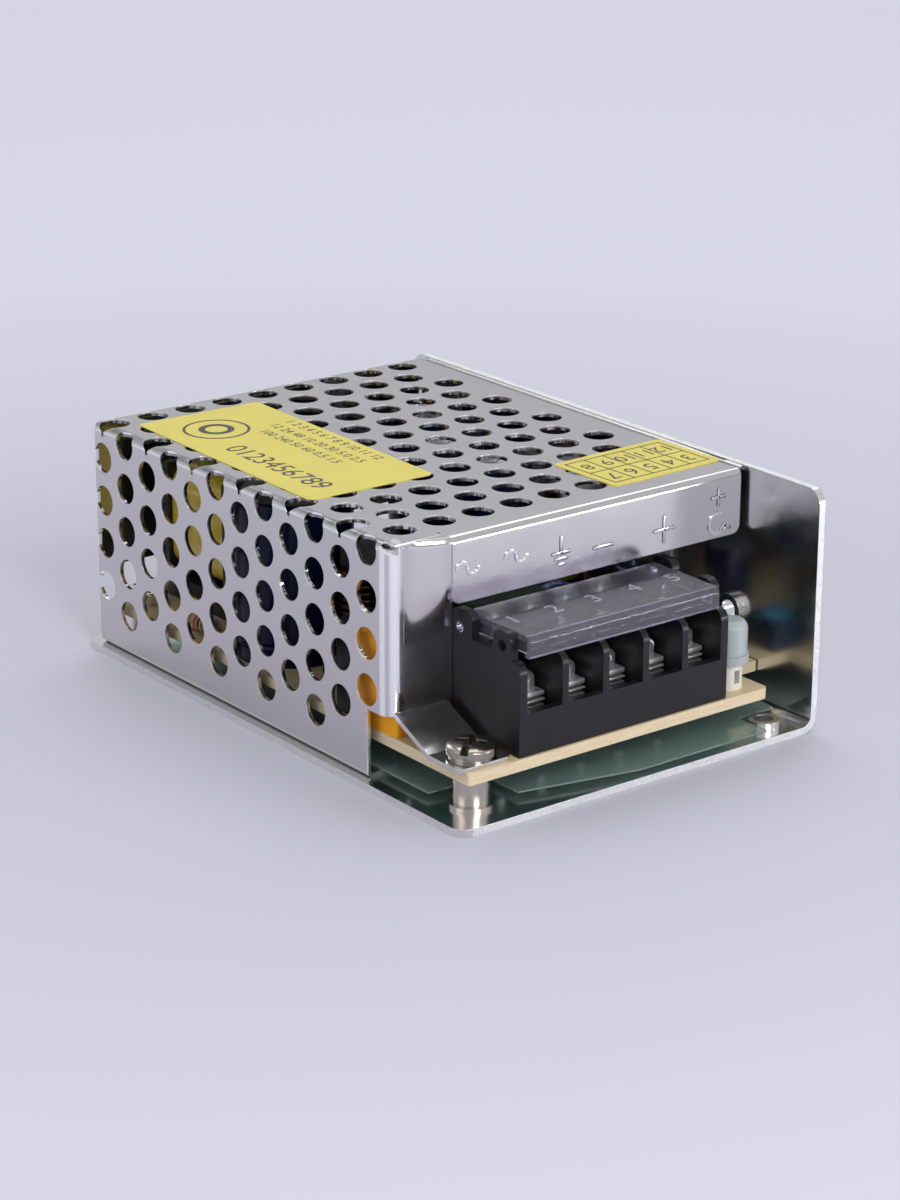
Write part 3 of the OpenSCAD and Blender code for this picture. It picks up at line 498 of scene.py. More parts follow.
@dataclass(frozen=True)
class FoldedSheet(Metal):
    """Plated sheet with painted highlight and shade bands along its folds, and burnished rims on
    its holes.

    A band's numbers say where it starts and ends round the fold, and how softly. A reach
    says how far a fold goes on its two faces.
    """

    corner: tuple[float, float] = (0.0, 0.0)
    top: float = 0.0
    # reach and painted highlight bands of the upright fold
    upright_reach: ClassVar[tuple[float, float]] = (2.6, 2.1)
    upright_bands: ClassVar[tuple[Band, Band]] = ((-1.75, -0.75, 0.12), (0.1, 1.9, 0.25))
    long_reach: ClassVar[tuple[float, float]] = (1.6, 1.4)
    # painted shade and painted highlight bands of the long fold, and the colour of the painted
    # shade
    dull_band: ClassVar[Band] = (-0.25, 1.2, 0.3)
    bright_band: ClassVar[Band] = (-0.95, -0.45, 0.15)
    dull: ClassVar[Colour] = (0.26, 0.26, 0.28)
    rim_depth: ClassVar[float] = 0.24
    rim_roughness: ClassVar[float] = 0.36
    rim_facing: ClassVar[float] = 0.4

    def dress(self, graph: Graph) -> None:
        """Dress the sheet, then paint highlights and shade on its two folds and treat the rims of
        its holes.

        Args:
            graph: the material's graph.
        """
        super().dress(graph)
        across = graph.minus(graph.axis(Axis.X), self.corner[0])
        # the folds get painted highlights and painted shade in their base colour
        tone = self.upright_fold(graph, graph.given("Base Color"), across)
        tone = self.long_fold(graph, tone, across)
        rim = self.rims(graph)
        flat = graph.given("Roughness")
        rough = graph.times(rim, graph.minus(self.rim_roughness, flat))
        graph.set(Base_Color=graph.mix(rim, tone, WHITE), Roughness=graph.plus(flat, rough))

    def fold(
        self, graph: Graph, across: Socket, other: Socket, reach: tuple[float, float]
    ) -> tuple[Socket, Socket]:
        """Find a fold.

        Args:
            graph: the material's graph.
            across: the distance in from the cover's left face.
            other: the distance in from the fold's other face.
            reach: how far the fold goes on the two faces.

        Returns:
            1 on the fold and 0 elsewhere, and the place round the fold.
        """
        near = graph.times(graph.less(across, reach[0]), graph.less(other, reach[1]))
        return near, graph.minus(across, other)

    def upright_fold(self, graph: Graph, tone: Socket, across: Socket) -> Socket:
        """Paint two highlight bands on the upright fold at the corner.

        Args:
            graph: the material's graph.
            tone: the colour so far.
            across: the distance in from the cover's left face.

        Returns:
            The colour with the fold's painted highlight bands.
        """
        deep = graph.minus(graph.axis(Axis.Y), self.corner[1])
        near, turn = self.fold(graph, across, deep, self.upright_reach)
        rear, front = (graph.between(turn, *band) for band in self.upright_bands)
        bands = graph.plus(rear, front, clamp=True)
        # painted highlight: the two bands turn the base colour near-white
        return graph.mix(graph.times(near, bands), tone, PAINTED_HIGHLIGHT)

    def long_fold(self, graph: Graph, tone: Socket, across: Socket) -> Socket:
        """Paint shade on the upper half of the long fold and a highlight on its lower half.

        Args:
            graph: the material's graph.
            tone: the colour so far.
            across: the distance in from the cover's left face.

        Returns:
            The colour with the fold's painted shade and highlight.
        """
        down = graph.minus(self.top, graph.axis(Axis.Z))
        near, turn = self.fold(graph, across, down, self.long_reach)
        # painted shade, made patchy, over the upper half of the fold
        patchy = graph.remap(graph.noise(1.6, 2.0), 0.35, 0.65, 0.5, 1.0)
        dull = graph.times(near, patchy, graph.between(turn, *self.dull_band))
        # painted highlight along the lower half of the fold
        bright = graph.times(near, graph.between(turn, *self.bright_band))
        return graph.mix(bright, graph.mix(dull, tone, self.dull), PAINTED_HIGHLIGHT)

    def rims(self, graph: Graph) -> Socket:
        """Find the outer rims of the punched holes, which the punch drew bright.

        Args:
            graph: the material's graph.

        Returns:
            1 on the rims and 0 elsewhere.
        """
        facing = graph.node("ShaderNodeNewGeometry").outputs["True Normal"]
        parts = graph.node("ShaderNodeSeparateXYZ", {"Vector": facing}).outputs
        side, top = (
            graph.less(graph.math("ABSOLUTE", parts[name]), self.rim_facing) for name in "XZ"
        )
        outer = graph.less(graph.axis(Axis.X), self.corner[0] + self.rim_depth)
        upper = graph.more(graph.axis(Axis.Z), self.top - self.rim_depth)
        return graph.math("MAXIMUM", graph.times(side, outer), graph.times(top, upper))


@dataclass(frozen=True)
class ShearedSheet(Metal):
    """Bright rolled sheet whose sheared edges are granular and pale."""

    limits: Box | None = None
    skin: ClassVar[float] = 0.04
    chip_size: ClassVar[float] = 0.35
    torn_roughness: ClassVar[tuple[float, float]] = (0.26, 0.55)

    def dress(self, graph: Graph) -> None:
        """Dress the sheet, then roughen what lies on the outline of its blank.

        Args:
            graph: the material's graph.
        """
        super().dress(graph)
        low = self.limits.low + Vector((self.skin, self.skin, -1))
        high = self.limits.high - Vector((-1, self.skin, self.skin))
        edge = graph.minus(1.0, graph.inside([Box(low, high)], 0.01))
        chips = graph.noise(self.chip_size, 4.0, 0.7)
        flat = graph.given("Roughness")
        rough = graph.remap(chips, 0.35, 0.65, *self.torn_roughness)
        torn = graph.mix(chips, darker(WHITE, 0.6), WHITE)
        graph.set(
            Roughness=graph.plus(flat, graph.times(edge, graph.minus(rough, flat))),
            Base_Color=graph.mix(edge, graph.given("Base Color"), torn),
            Normal=graph.bump(graph.times(edge, chips), 0.8, 0.12, graph.given("Normal")),
        )


@dataclass(frozen=True)
class Moulding(Finish):
    """Moulded plastic with a fine spark-eroded texture, and the bare metal let into it."""

    roughness: float = 0.35
    texture: float = 0.01
    edge: float = 0.1
    coat: float = 0.0
    bare: tuple[Box, ...] = ()
    shine: float = 0.5
    uneven: ClassVar[float] = 0.06
    bare_roughness: ClassVar[float] = 0.22

    def dress(self, graph: Graph) -> None:
        """Give the moulding its fine texture and slightly uneven gloss.

        Args:
            graph: the material's graph.
        """
        cloud = graph.noise(4.0, 3.0)
        tone = graph.mix(cloud, darker(self.colour, 0.85), self.colour)
        gloss = graph.spread(cloud, self.roughness - self.uneven, self.roughness + self.uneven)
        if self.bare:
            mask = graph.inside(self.bare)
            tone = graph.mix(mask, tone, BARE_METAL)
            gloss = graph.plus(gloss, graph.times(mask, self.bare_roughness - self.roughness))
            graph.set(Metallic=mask)
        graph.set(
            Base_Color=tone,
            Roughness=gloss,
            Coat_Weight=0.0 if self.bare else self.coat,
            Coat_Roughness=0.08,
            Specular_IOR_Level=self.shine,
        )
        normal = graph.rounded(self.edge) if self.edge else None
        graph.set(Normal=graph.bump(graph.noise(0.25, 3.0, 0.6), 0.35, self.texture, normal))


@dataclass(frozen=True)
class Sleeve(Finish):
    """Shrink sleeve of a can capacitor, with its minus stripe and bare aluminium top.

    The stripe and its dashes span shares of the can's radius.
    """

    can: Box | None = None
    stripe: ClassVar[Colour] = (0.2, 0.24, 0.34)
    stripe_span: ClassVar[tuple[float, float]] = (-0.38, 0.2)
    dash_span: ClassVar[tuple[float, float]] = (-0.22, 0.04)
    dash_step: ClassVar[float] = 1.6
    dash_height: ClassVar[float] = 0.3
    aluminium: ClassVar[Colour] = (0.78, 0.78, 0.8)
    rim: ClassVar[float] = 1.25
    top_depth: ClassVar[float] = 1.2

    def dress(self, graph: Graph) -> None:
        """Print the stripe on the sleeve and bare the scored top.

        Args:
            graph: the material's graph.
        """
        centre, radius = self.can.centre, self.can.size.x / 2
        reach = graph.distance((centre.x, centre.y))
        height = graph.axis(Axis.Z)
        bare_r, bare_z = radius - self.rim, self.can.high.z - self.top_depth
        top = graph.times(
            graph.remap(reach, bare_r - 0.05, bare_r, 1, 0),
            graph.remap(height, bare_z, bare_z + 0.1, 0, 1),
        )
        across = graph.minus(graph.axis(Axis.X), centre.x)
        face = graph.more(graph.axis(Axis.Y), centre.y)
        stripe, dash = (
            graph.between(across, radius * low, radius * high, 0.03)
            for low, high in (self.stripe_span, self.dash_span)
        )
        beat = graph.less(graph.zigzag(height, self.dash_step), self.dash_height)
        band = graph.times(stripe, face, graph.minus(1.0, graph.times(dash, beat)))
        scuff = graph.spread(graph.noise(2.0, 4.0, 0.6), 0.14, 0.26)
        graph.set(
            Base_Color=graph.mix(top, graph.mix(band, self.colour, self.stripe), self.aluminium),
            Metallic=top,
            Specular_IOR_Level=0.16,
            Roughness=graph.plus(scuff, graph.times(top, 0.12)),
            Normal=graph.bump(graph.noise(0.6, 3.0, 0.6), 0.25, 0.02, graph.rounded(0.12)),
        )


@dataclass(frozen=True)
class Laminate(Finish):
    """Glass laminate: cream top, pale cut edges, and green with its tracks underneath."""

    board: Box | None = None
    dim: ClassVar[Colour] = (0.7, 0.57, 0.33)
    cut: ClassVar[tuple[Colour, Colour]] = ((0.52, 0.4, 0.22), (0.82, 0.71, 0.5))
    mask: ClassVar[Colour] = (0.09, 0.23, 0.19)
    track: ClassVar[Colour] = (0.12, 0.29, 0.24)
    thread: ClassVar[float] = 0.22
    skin: ClassVar[float] = 0.02

    def routes(self, graph: Graph) -> Socket:
        """Lay out the tracks under the solder mask.

        Args:
            graph: the material's graph.

        Returns:
            The tracks, 1 between them and less on them.
        """
        shades = {"Color1": 0.0, "Color2": 0.3, "Mortar": 1.0}
        inputs = {name: rgba((shade, shade, shade)) for name, shade in shades.items()}
        inputs |= {
            "Vector": graph.position, "Scale": 0.12, "Mortar Size": 0.055, "Mortar Smooth": 0.1,
            "Brick Width": 0.9, "Row Height": 0.42,
        }
        return graph.node("ShaderNodeTexBrick", inputs).outputs["Color"]

    def dress(self, graph: Graph) -> None:
        """Lay the tracks and the solder mask on the two faces.

        Args:
            graph: the material's graph.
        """
        across, along = graph.axis(Axis.X), graph.axis(Axis.Y)
        weave = graph.plus(graph.zigzag(across, self.thread), graph.zigzag(along, self.thread))
        cut = graph.mix(graph.noise(0.5, 3.0, 0.7, (6, 6, 0.5)), *self.cut)
        under = graph.less(graph.axis(Axis.Z), self.board.low.z + self.skin)
        above = graph.more(graph.axis(Axis.Z), self.board.high.z - self.skin)
        routes = self.routes(graph)
        top = graph.mix(graph.times(weave, 0.6), self.dim, self.colour)
        low = graph.mix(routes, self.mask, self.track)
        relief = graph.plus(weave, graph.times(routes, under))
        graph.set(
            Base_Color=graph.mix(above, graph.mix(under, cut, low), top),
            Roughness=graph.spread(graph.noise(5.0, 4.0, 0.6), 0.3, 0.45),
            Coat_Weight=0.25,
            Coat_Roughness=0.12,
            Normal=graph.bump(relief, 0.3, 0.03, graph.rounded(0.08)),
        )


@dataclass(frozen=True)
class ClearPlastic(Finish):
    """Clear or milky moulded plastic with faint flow lines."""

    roughness: float = 0.04
    clarity: float = 0.9
    bare: tuple[Box, ...] = ()

    def dress(self, graph: Graph) -> None:
        """Let light through and bend it a little unevenly.

        Args:
            graph: the material's graph.
        """
        flow = graph.noise(3.0, 2.0, stretch=(4, 1, 1))
        graph.set(
            Base_Color=rgba(self.colour),
            Transmission_Weight=self.clarity,
            Roughness=graph.spread(flow, self.roughness, self.roughness + 0.05),
            IOR=1.42,
            Normal=graph.bump(flow, 0.12, 0.03, graph.rounded(0.12)),
        )
        if self.bare:
            mask = graph.inside(self.bare)
            graph.set(
                Metallic=mask,
                Base_Color=graph.mix(mask, self.colour, BARE_METAL),
                Transmission_Weight=graph.times(graph.minus(1.0, mask), self.clarity),
            )


@dataclass(frozen=True)
class WoundTape(Moulding):
    """Layers of glossy tape wound round the transformer, with their overlapping edges."""

    pitch: ClassVar[float] = 4.2

    def dress(self, graph: Graph) -> None:
        """Step the tape where one layer ends on the next.

        Args:
            graph: the material's graph.
        """
        super().dress(graph)
        step = graph.zigzag(graph.axis(Axis.Y), self.pitch / 2)
        crease = graph.noise(2.5, 3.0, 0.6, (3, 0.6, 3))
        height = graph.plus(graph.remap(step, 0.0, 0.25, 0, 1), crease)
        graph.set(Normal=graph.bump(height, 0.6, 0.08, graph.given("Normal")))


@dataclass(frozen=True)
class TapedBox(Moulding):
    """Moulded case with its rear part wrapped in black insulating tape."""

    tape_y: float = 0.0
    tape: ClassVar[Colour] = (0.02, 0.02, 0.024)

    def dress(self, graph: Graph) -> None:
        """Wrap the tape, whose edge stands up a little.

        Args:
            graph: the material's graph.
        """
        super().dress(graph)
        wrap = graph.remap(graph.axis(Axis.Y), self.tape_y - 0.04, self.tape_y + 0.04, 0, 1)
        graph.set(
            Base_Color=graph.mix(wrap, graph.given("Base Color"), self.tape),
            Normal=graph.bump(wrap, 1.0, 0.1, graph.given("Normal")),
        )


NAVY: Colour = (0.004, 0.008, 0.035)
EPOXY: Colour = (0.016, 0.016, 0.018)
PLATED: Colour = (0.68, 0.67, 0.67)
SHARED: tuple[Finish, ...] = (
    Metal("plated_steel", PLATED, 0.16, 0.12, 0.05, 0.0, 0.12),
    Metal("stamped_steel", (0.84, 0.83, 0.84), 0.14, 0.08, 0.0, 0.0, 0.1),
    Metal("nickel", (0.78, 0.76, 0.73), 0.14, 0.1, 0.0, 0.0, 0.08),
    Metal("head_nickel", (0.4, 0.365, 0.32), 0.2, 0.1, 0.0, 0.0, 0.16),
    Metal("turned_nickel", (0.58, 0.52, 0.47), 0.22, 0.12, 0.0, 0.0, 0.1),
    Metal("clamp_nickel", (1.0, 0.99, 0.97), 0.44, 0.1, 0.0, 0.0, 0.3),
    Metal("tinned", (0.94, 0.94, 0.94), 0.36, 0.1, 0.0, 0.0, 0.15),
    Metal("solder", (0.78, 0.78, 0.79), 0.16, 0.1, 0.05, 0.0, 0.0),
    Metal("copper_wire", (0.07, 0.03, 0.016), 0.28, 0.1, 0.0, 0.0, 0.0),
    Moulding("black_moulding", (0.006, 0.006, 0.008), 0.36, 0.012, 0.12, shine=0.36),
    Moulding("black_epoxy", EPOXY, 0.5, 0.02, 0.08),
    Moulding("ferrite", (0.03, 0.03, 0.034), 0.55, 0.03, 0.15),
    Moulding("core_paint", (0.62, 0.56, 0.1), 0.35, 0.02, 0.0),
    Moulding("flap_digits", (0.34, 0.33, 0.38), 0.3, 0.004, 0.0),
    Moulding("blue_plastic", (0.008, 0.03, 0.07), 0.3, 0.004, 0.1),
    Moulding("rotor_plastic", (0.06, 0.32, 0.46), 0.3, 0.004, 0.08),
    Moulding("ivory_plastic", (0.78, 0.76, 0.68), 0.35, 0.004, 0.08),
    Moulding("rubber", (0.35, 0.36, 0.38), 0.6, 0.02, 0.05),
    Moulding("label", (0.72, 0.62, 0.09), 0.35, 0.002, 0.0),
    Moulding("label_ink", (0.03, 0.03, 0.03), 0.4, 0.002, 0.0),
    WoundTape("yellow_tape", (0.8, 0.62, 0.05), 0.2, 0.01, 0.1, 0.5),
    ClearPlastic("clear_flap", (0.7, 0.68, 0.8), 0.07, 0.94),
    ClearPlastic("film", (0.84, 1.0, 0.95), 0.06, 0.88),
)
FINISHES: dict[str, Finish] = {finish.name: finish for finish in SHARED}


# ---- The studio ----------------------------------------------------------


@dataclass(frozen=True)
class SoftBox:
    """A rectangular light: where it hangs, what it faces, its size and its watts."""

    name: str
    place: Vec
    aim: Vec
    size: tuple[float, float]
    power: float
    colour: Colour = WHITE

    def hang(self) -> None:
        """Add the light to the scene."""
        data = bpy.data.lights.new(self.name, "AREA")
        data.shape = "RECTANGLE"
        data.size, data.size_y = self.size[0] * MM, self.size[1] * MM
        data.energy = self.power
        data.color = self.colour
        light = bpy.data.objects.new(self.name, data)
        light.location = Vector(self.place) * MM
        facing = Vector(self.aim) - Vector(self.place)
        light.rotation_euler = facing.to_track_quat("-Z", "Y").to_euler()
        bpy.context.scene.collection.objects.link(light)


@dataclass
class Studio:
    """Floor, lights and the camera of a plain product shot."""

    eye: Vec = (-244.16, -318.37, 153.70)
    azimuth: float = -37.714
    elevation: float = 19.408
    roll: float = 0.179
    lens: float = 95.318
    sensor: float = 36.0
    floor_size: float = 6000.0
    # colours of a painted gradient on the floor: painted shade near the object, painted light
    # further off
    floor_colour: Colour = (0.53, 0.52, 0.6)
    far_colour: Colour = (0.65, 0.655, 0.735)
    paling: tuple[float, float] = (75.0, 250.0)
    sky: float = 0.65
    sky_stops: tuple[tuple[float, Colour], ...] = (
        (0.0, (0.66, 0.66, 0.73)), (0.42, (1.0, 1.0, 1.04))
    )
    lights: tuple[SoftBox, ...] = (
        SoftBox("top_box", (500, 700, 1500), (0, 0, 0), (1500, 1200), 10.5),
        SoftBox("left_box", (-620, 60, 260), (0, 0, 20), (420, 360), 0.5, (0.98, 0.98, 1.0)),
        SoftBox("spark", (-150, -420, 380), (0, -30, 14), (70, 70), 0.45),
        SoftBox("front_card", (-60, -700, 330), (0, 0, 20), (300, 200), 1.4),
        SoftBox("low_card", (430, -580, 60), (0, -36, 13), (260, 70), 1.2),
    )

    def camera(self) -> None:
        """Place the camera, turned to its azimuth and elevation."""
        azimuth, elevation, roll = map(math.radians, (self.azimuth, self.elevation, self.roll))
        level = math.cos(elevation)
        back = Vector((math.sin(azimuth) * level, -math.cos(azimuth) * level, math.sin(elevation)))
        right = Vector((0, 0, 1)).cross(back).normalized()
        up = back.cross(right)
        right, up = (
            right * math.cos(roll) + up * math.sin(roll),
            up * math.cos(roll) - right * math.sin(roll),
        )
        turn = Matrix((right, up, back)).transposed().to_4x4()
        data = bpy.data.cameras.new("camera")
        data.lens = self.lens
        data.sensor_width = self.sensor
        data.clip_start = 0.01
        camera = bpy.data.objects.new("camera", data)
        camera.matrix_world = Matrix.Translation(Vector(self.eye) * MM) @ turn
        bpy.context.scene.collection.objects.link(camera)
        bpy.context.scene.camera = camera

    def floor(self) -> None:
        """Lay the pale floor, whose colour is painted darker near the object and paler further off:
        painted shade and painted light.
        """
        mesh = bpy.data.meshes.new("floor")
        shape = bmesh.new()
        bmesh.ops.create_grid(shape, x_segments=1, y_segments=1, size=self.floor_size / 2 * MM)
        shape.to_mesh(mesh)
        shape.free()
        floor = bpy.data.objects.new("floor", mesh)
        bpy.context.scene.collection.objects.link(floor)
        graph = Graph("floor")
        # painted shade and light: the colour runs from the shaded near colour to the paler far one
        away = graph.remap(graph.distance((0.0, 0.0)), *self.paling, 0.0, 1.0)
        graph.set(
            Base_Color=graph.mix(away, self.floor_colour, self.far_colour),
            Roughness=0.62,
            Specular_IOR_Level=0.25,
        )
        floor.data.materials.append(graph.material)

    def world(self) -> None:
        """Surround the shot with a soft pale sky, brighter overhead."""
        world = bpy.data.worlds.new("studio")
        world.use_nodes = True
        bpy.context.scene.world = world
        tree = world.node_tree
        place = tree.nodes.new("ShaderNodeTexCoord")
        height = tree.nodes.new("ShaderNodeSeparateXYZ")
        ramp = tree.nodes.new("ShaderNodeValToRGB")
        background = tree.nodes["Background"].inputs
        tree.links.new(place.outputs["Generated"], height.inputs[0])
        tree.links.new(height.outputs["Z"], ramp.inputs["Fac"])
        tree.links.new(ramp.outputs[0], background["Color"])
        for stop, (position, colour) in zip(ramp.color_ramp.elements, self.sky_stops):
            stop.position, stop.color = position, rgba(colour)
        background["Strength"].default_value = self.sky

    def build(self) -> None:
        """Set up the whole studio."""
        self.camera()
        self.floor()
        self.world()
        for light in self.lights:
            light.hang()
        bpy.context.scene.view_settings.view_transform = "Standard"


# ---- Shapes --------------------------------------------------------------


FIGURE_HEIGHT = 0.72  # height of a figure as a share of the font's size


class Shape:
    """A mesh in the making, in millimetres, with the few steps the pieces need."""

    def __init__(self) -> None:
        """Start with nothing."""
        self.mesh = bmesh.new()

    @classmethod
    def copy_of(cls, node: str) -> "Shape":
        """Start with a copy of a CAD node.

        Args:
            node: name of the node.

        Returns:
            The copy as a shape.
        """
        shape = cls()
        shape.mesh.free()
        shape.mesh = merged(node)
        bmesh.ops.scale(shape.mesh, vec=(1 / MM, 1 / MM, 1 / MM), verts=shape.mesh.verts)
        return shape

    def slab(self, low: Vec, high: Vec, bevel: float = 0.0, turn: Matrix | None = None) -> None:
        """Add a block with softened edges.

        Args:
            low: lowest corner.
            high: highest corner.
            bevel: width of the bevel on its edges.
            turn: a placing applied to the block.
        """
        size = Vector(high) - Vector(low)
        place = Matrix.Translation((Vector(low) + Vector(high)) / 2) @ Matrix.Diagonal((*size, 1))
        verts = bmesh.ops.create_cube(self.mesh, size=1, matrix=place)["verts"]
        edges = list({edge for vert in verts for edge in vert.link_edges})
        if bevel:
            made = bmesh.ops.bevel(
                self.mesh, geom=edges, offset=bevel, segments=2, profile=0.5, affect="EDGES",
                material=-1,
            )
            rounded = {vert for face in made["faces"] for vert in face.verts}
            verts = list(rounded | {vert for vert in verts if vert.is_valid})
        if turn is not None:
            bmesh.ops.transform(self.mesh, matrix=turn, verts=verts)

    def rod(
        self, start: Vec, end: Vec, radius: float, tip: float | None = None, sides: int = 16
    ) -> None:
        """Add a rod or cone between two points.

        Args:
            start: centre of one end.
            end: centre of the other end.
            radius: radius at the start.
            tip: radius at the end, where it differs.
            sides: number of its sides.
        """
        run = Vector(end) - Vector(start)
        place = (
            Matrix.Translation((Vector(start) + Vector(end)) / 2)
            @ run.to_track_quat("Z", "Y").to_matrix().to_4x4()
        )
        bmesh.ops.create_cone(
            self.mesh, cap_ends=True, segments=sides, radius1=radius,
            radius2=radius if tip is None else tip, depth=run.length, matrix=place,
        )

    def hoop(
        self, turn: Matrix, radius: float, width: float, height: float, angle: float = 360.0
    ) -> None:
        """Add a flat ring, or part of one, standing on a plane.

        Args:
            turn: placing of the plane, whose Z is the ring's axis.
            radius: mean radius.
            width: width of the ring.
            height: height above the plane.
            angle: degrees that it runs through from the plane's X.
        """
        made = bmesh.ops.create_grid(self.mesh, x_segments=1, y_segments=1, size=0.5)
        place = Matrix.Translation((radius, 0, height / 2)) @ Matrix.Rotation(math.pi / 2, 4, "X")
        place = place @ Matrix.Diagonal((width, height, 1, 1))
        bmesh.ops.transform(self.mesh, matrix=place, verts=made["verts"])
        faces = list({face for vert in made["verts"] for face in vert.link_faces})
        whole = angle >= 360.0
        swept = bmesh.ops.spin(
            self.mesh, geom=faces, cent=(0, 0, 0), axis=(0, 0, 1), angle=math.radians(angle),
            steps=max(6, int(angle / 10)), use_merge=whole,
        )
        seed = swept["geom_last"] if whole else faces
        verts = (vert for item in seed for vert in getattr(item, "verts", [item]))
        bmesh.ops.transform(self.mesh, matrix=turn, verts=list(linked(verts)))

    def stroke(
        self, turn: Matrix, start: Sequence[float], end: Sequence[float], width: float,
        height: float, bevel: float = 0.0,
    ) -> None:
        """Add a straight stroke lying on a plane.

        Args:
            turn: placing of the plane, whose Z points out of it.
            start: where the stroke starts, on the plane.
            end: where it ends.
            width: its width.
            height: its height above the plane.
            bevel: width of the bevel on its edges.
        """
        run = Vector((end[0] - start[0], end[1] - start[1]))
        middle = Vector((start[0] + end[0], start[1] + end[1], 0)) / 2
        along = Matrix.Rotation(math.atan2(run.y, run.x), 4, "Z")
        half = run.length / 2 + width / 2
        place = turn @ Matrix.Translation(middle) @ along
        self.slab((-half, -width / 2, 0), (half, width / 2, height), bevel, place)

    def number(
        self, text: str, turn: Matrix, at: tuple[float, float], height: float, thick: float,
        angle: float = 0.0,
    ) -> None:
        """Add plain figures, centred on a point of a plane.

        Args:
            text: the figures.
            turn: placing of the plane, whose Z points out of it.
            at: centre on the plane.
            height: height of the figures.
            thick: how far they stand out.
            angle: degrees that they are turned on the plane.
        """
        curve = bpy.data.curves.new("figures", "FONT")
        curve.body = text
        curve.size = height / FIGURE_HEIGHT
        curve.align_x = "CENTER"
        curve.align_y = "CENTER"
        curve.extrude = thick / 2
        curve.resolution_u = 3
        holder = bpy.data.objects.new("figures", curve)
        mesh = bpy.data.meshes.new_from_object(holder)
        place = turn @ Matrix.Translation((*at, thick / 2))
        mesh.transform(place @ Matrix.Rotation(math.radians(angle), 4, "Z"))
        self.mesh.from_mesh(mesh)
        bpy.data.objects.remove(holder)
        bpy.data.curves.remove(curve)
        bpy.data.meshes.remove(mesh)

    def finish(
        self, name: str, material: bpy.types.Material, body: str, slot: str, smooth: float = 0.0
    ) -> bpy.types.Object:
        """Turn the shape into a piece of the object.

        Args:
            name: name of the piece.
            material: its material.
            body: the body it rides on.
            slot: the material slot it is meant for; not used.
            smooth: edges under this many degrees are shaded smooth.

        Returns:
            The piece.
        """
        bmesh.ops.scale(self.mesh, vec=(MM, MM, MM), verts=self.mesh.verts)
        bmesh.ops.remove_doubles(self.mesh, verts=self.mesh.verts, dist=1e-7)
        bmesh.ops.recalc_face_normals(self.mesh, faces=self.mesh.faces)
        for edge in self.mesh.edges:
            edge.smooth = bool(smooth) and edge.calc_face_angle(math.pi) < math.radians(smooth)
        for face in self.mesh.faces:
            face.smooth = bool(smooth)
        data = bpy.data.meshes.new(name)
        self.mesh.to_mesh(data)
        self.mesh.free()
        data.materials.append(material)
        piece = bpy.data.objects.new(name, data)
        bpy.context.scene.collection.objects.link(piece)
        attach(piece, body)
        log.info("made %s with %d faces", name, len(data.polygons))
        return piece


def plane(origin: Sequence[float], across: Vec, up: Vec) -> Matrix:
    """Place a plane.

    Args:
        origin: its origin.
        across: direction of its X.
        up: direction of its Y.

    Returns:
        The placing, whose Z points out of the plane.
    """
    out = Vector(across).cross(Vector(up))
    turn = Matrix((across, up, out)).transposed().to_4x4()
    return Matrix.Translation(Vector(origin)) @ turn


# ---- Dressing of the CAD nodes -------------------------------------------


POLES = range(1, 6)
FLANGE_Y = Box.of("line_capacitor").low.y - 0.9
RESISTOR_BODY = 6.2
FUSE_CAP_X = 2.7
CANS = ("output_capacitor_1", "output_capacitor_2", "output_capacitor_3", "reservoir_capacitor")
WEARERS: dict[str, tuple[str, ...]] = {
    "nickel": (
        "cover_screws", "spacer_rear_left", "spacer_rear_right", "board_screw_left",
        "board_screw_right",
    ),
    "head_nickel": ("foot_screw", "device_screws", "device_nuts"),
    "turned_nickel": ("spacer_front",),
    "clamp_nickel": (
        *(f"clamp_plate_{pole}" for pole in POLES), *(f"terminal_screw_{pole}" for pole in POLES)
    ),
    "tinned": ("terminal_contacts",),
    "copper_wire": ("line_choke_coils",),
    "black_moulding": ("terminal_block",),
    "black_epoxy": ("transformer_bobbin",),
    "ferrite": ("line_choke_core", "transformer_core"),
    "core_paint": ("output_choke",),
    "blue_plastic": ("trimmer_body",),
    "rotor_plastic": ("trimmer_rotor",),
    "ivory_plastic": ("led_spacer",),
    "rubber": ("insulating_pads",),
    "label": ("large_label", "small_label"),
    "yellow_tape": ("transformer_winding",),
    "clear_flap": ("terminal_flap",),
    "film": ("insulating_sheet",),
}


def below(node: str, height: float) -> Box:
    """Cut the lower part off a node's box.

    Args:
        node: name of the node.
        height: height of the part over the foot of the box.

    Returns:
        The part, a little wider than the node.
    """
    box = Box.of(node)
    return Box(
        box.low - Vector((1, 1, 1)), Vector((box.high.x + 1, box.high.y + 1, box.low.z + height))
    )


def ends(box: Box, axis: Axis, reach: float, grow: float = 1.0) -> tuple[Box, Box]:
    """The two ends of a box along an axis.

    Args:
        box: the box.
        axis: the axis.
        reach: how far in each end goes along it.
        grow: how far the ends go past the box on their other sides.

    Returns:
        The near end and the far end.
    """
    wide = Vector((grow, grow, grow))
    near, far = box.high + wide, box.low - wide
    near[axis.value] = box.low[axis.value] + reach
    far[axis.value] = box.high[axis.value] - reach
    return Box(box.low - wide, near), Box(far, box.high + wide)


def lying(box: Box) -> Axis:
    """The axis that a resistor lies along."""
    return Axis.X if box.size.x > box.size.y else Axis.Y


def dipped(node: str, colour: Colour, lift: float) -> Moulding:
    """Glossy dipped coating that ends in a short skirt on the bare leads."""
    return Moulding(node, colour, 0.2, 0.03, 0.0, 0.5, (below(node, lift),))


def epoxy(node: str, *bare: Box) -> Moulding:
    """Matt black epoxy with its bare leads and tabs."""
    return Moulding(node, EPOXY, 0.5, 0.02, 0.06, 0.0, bare)


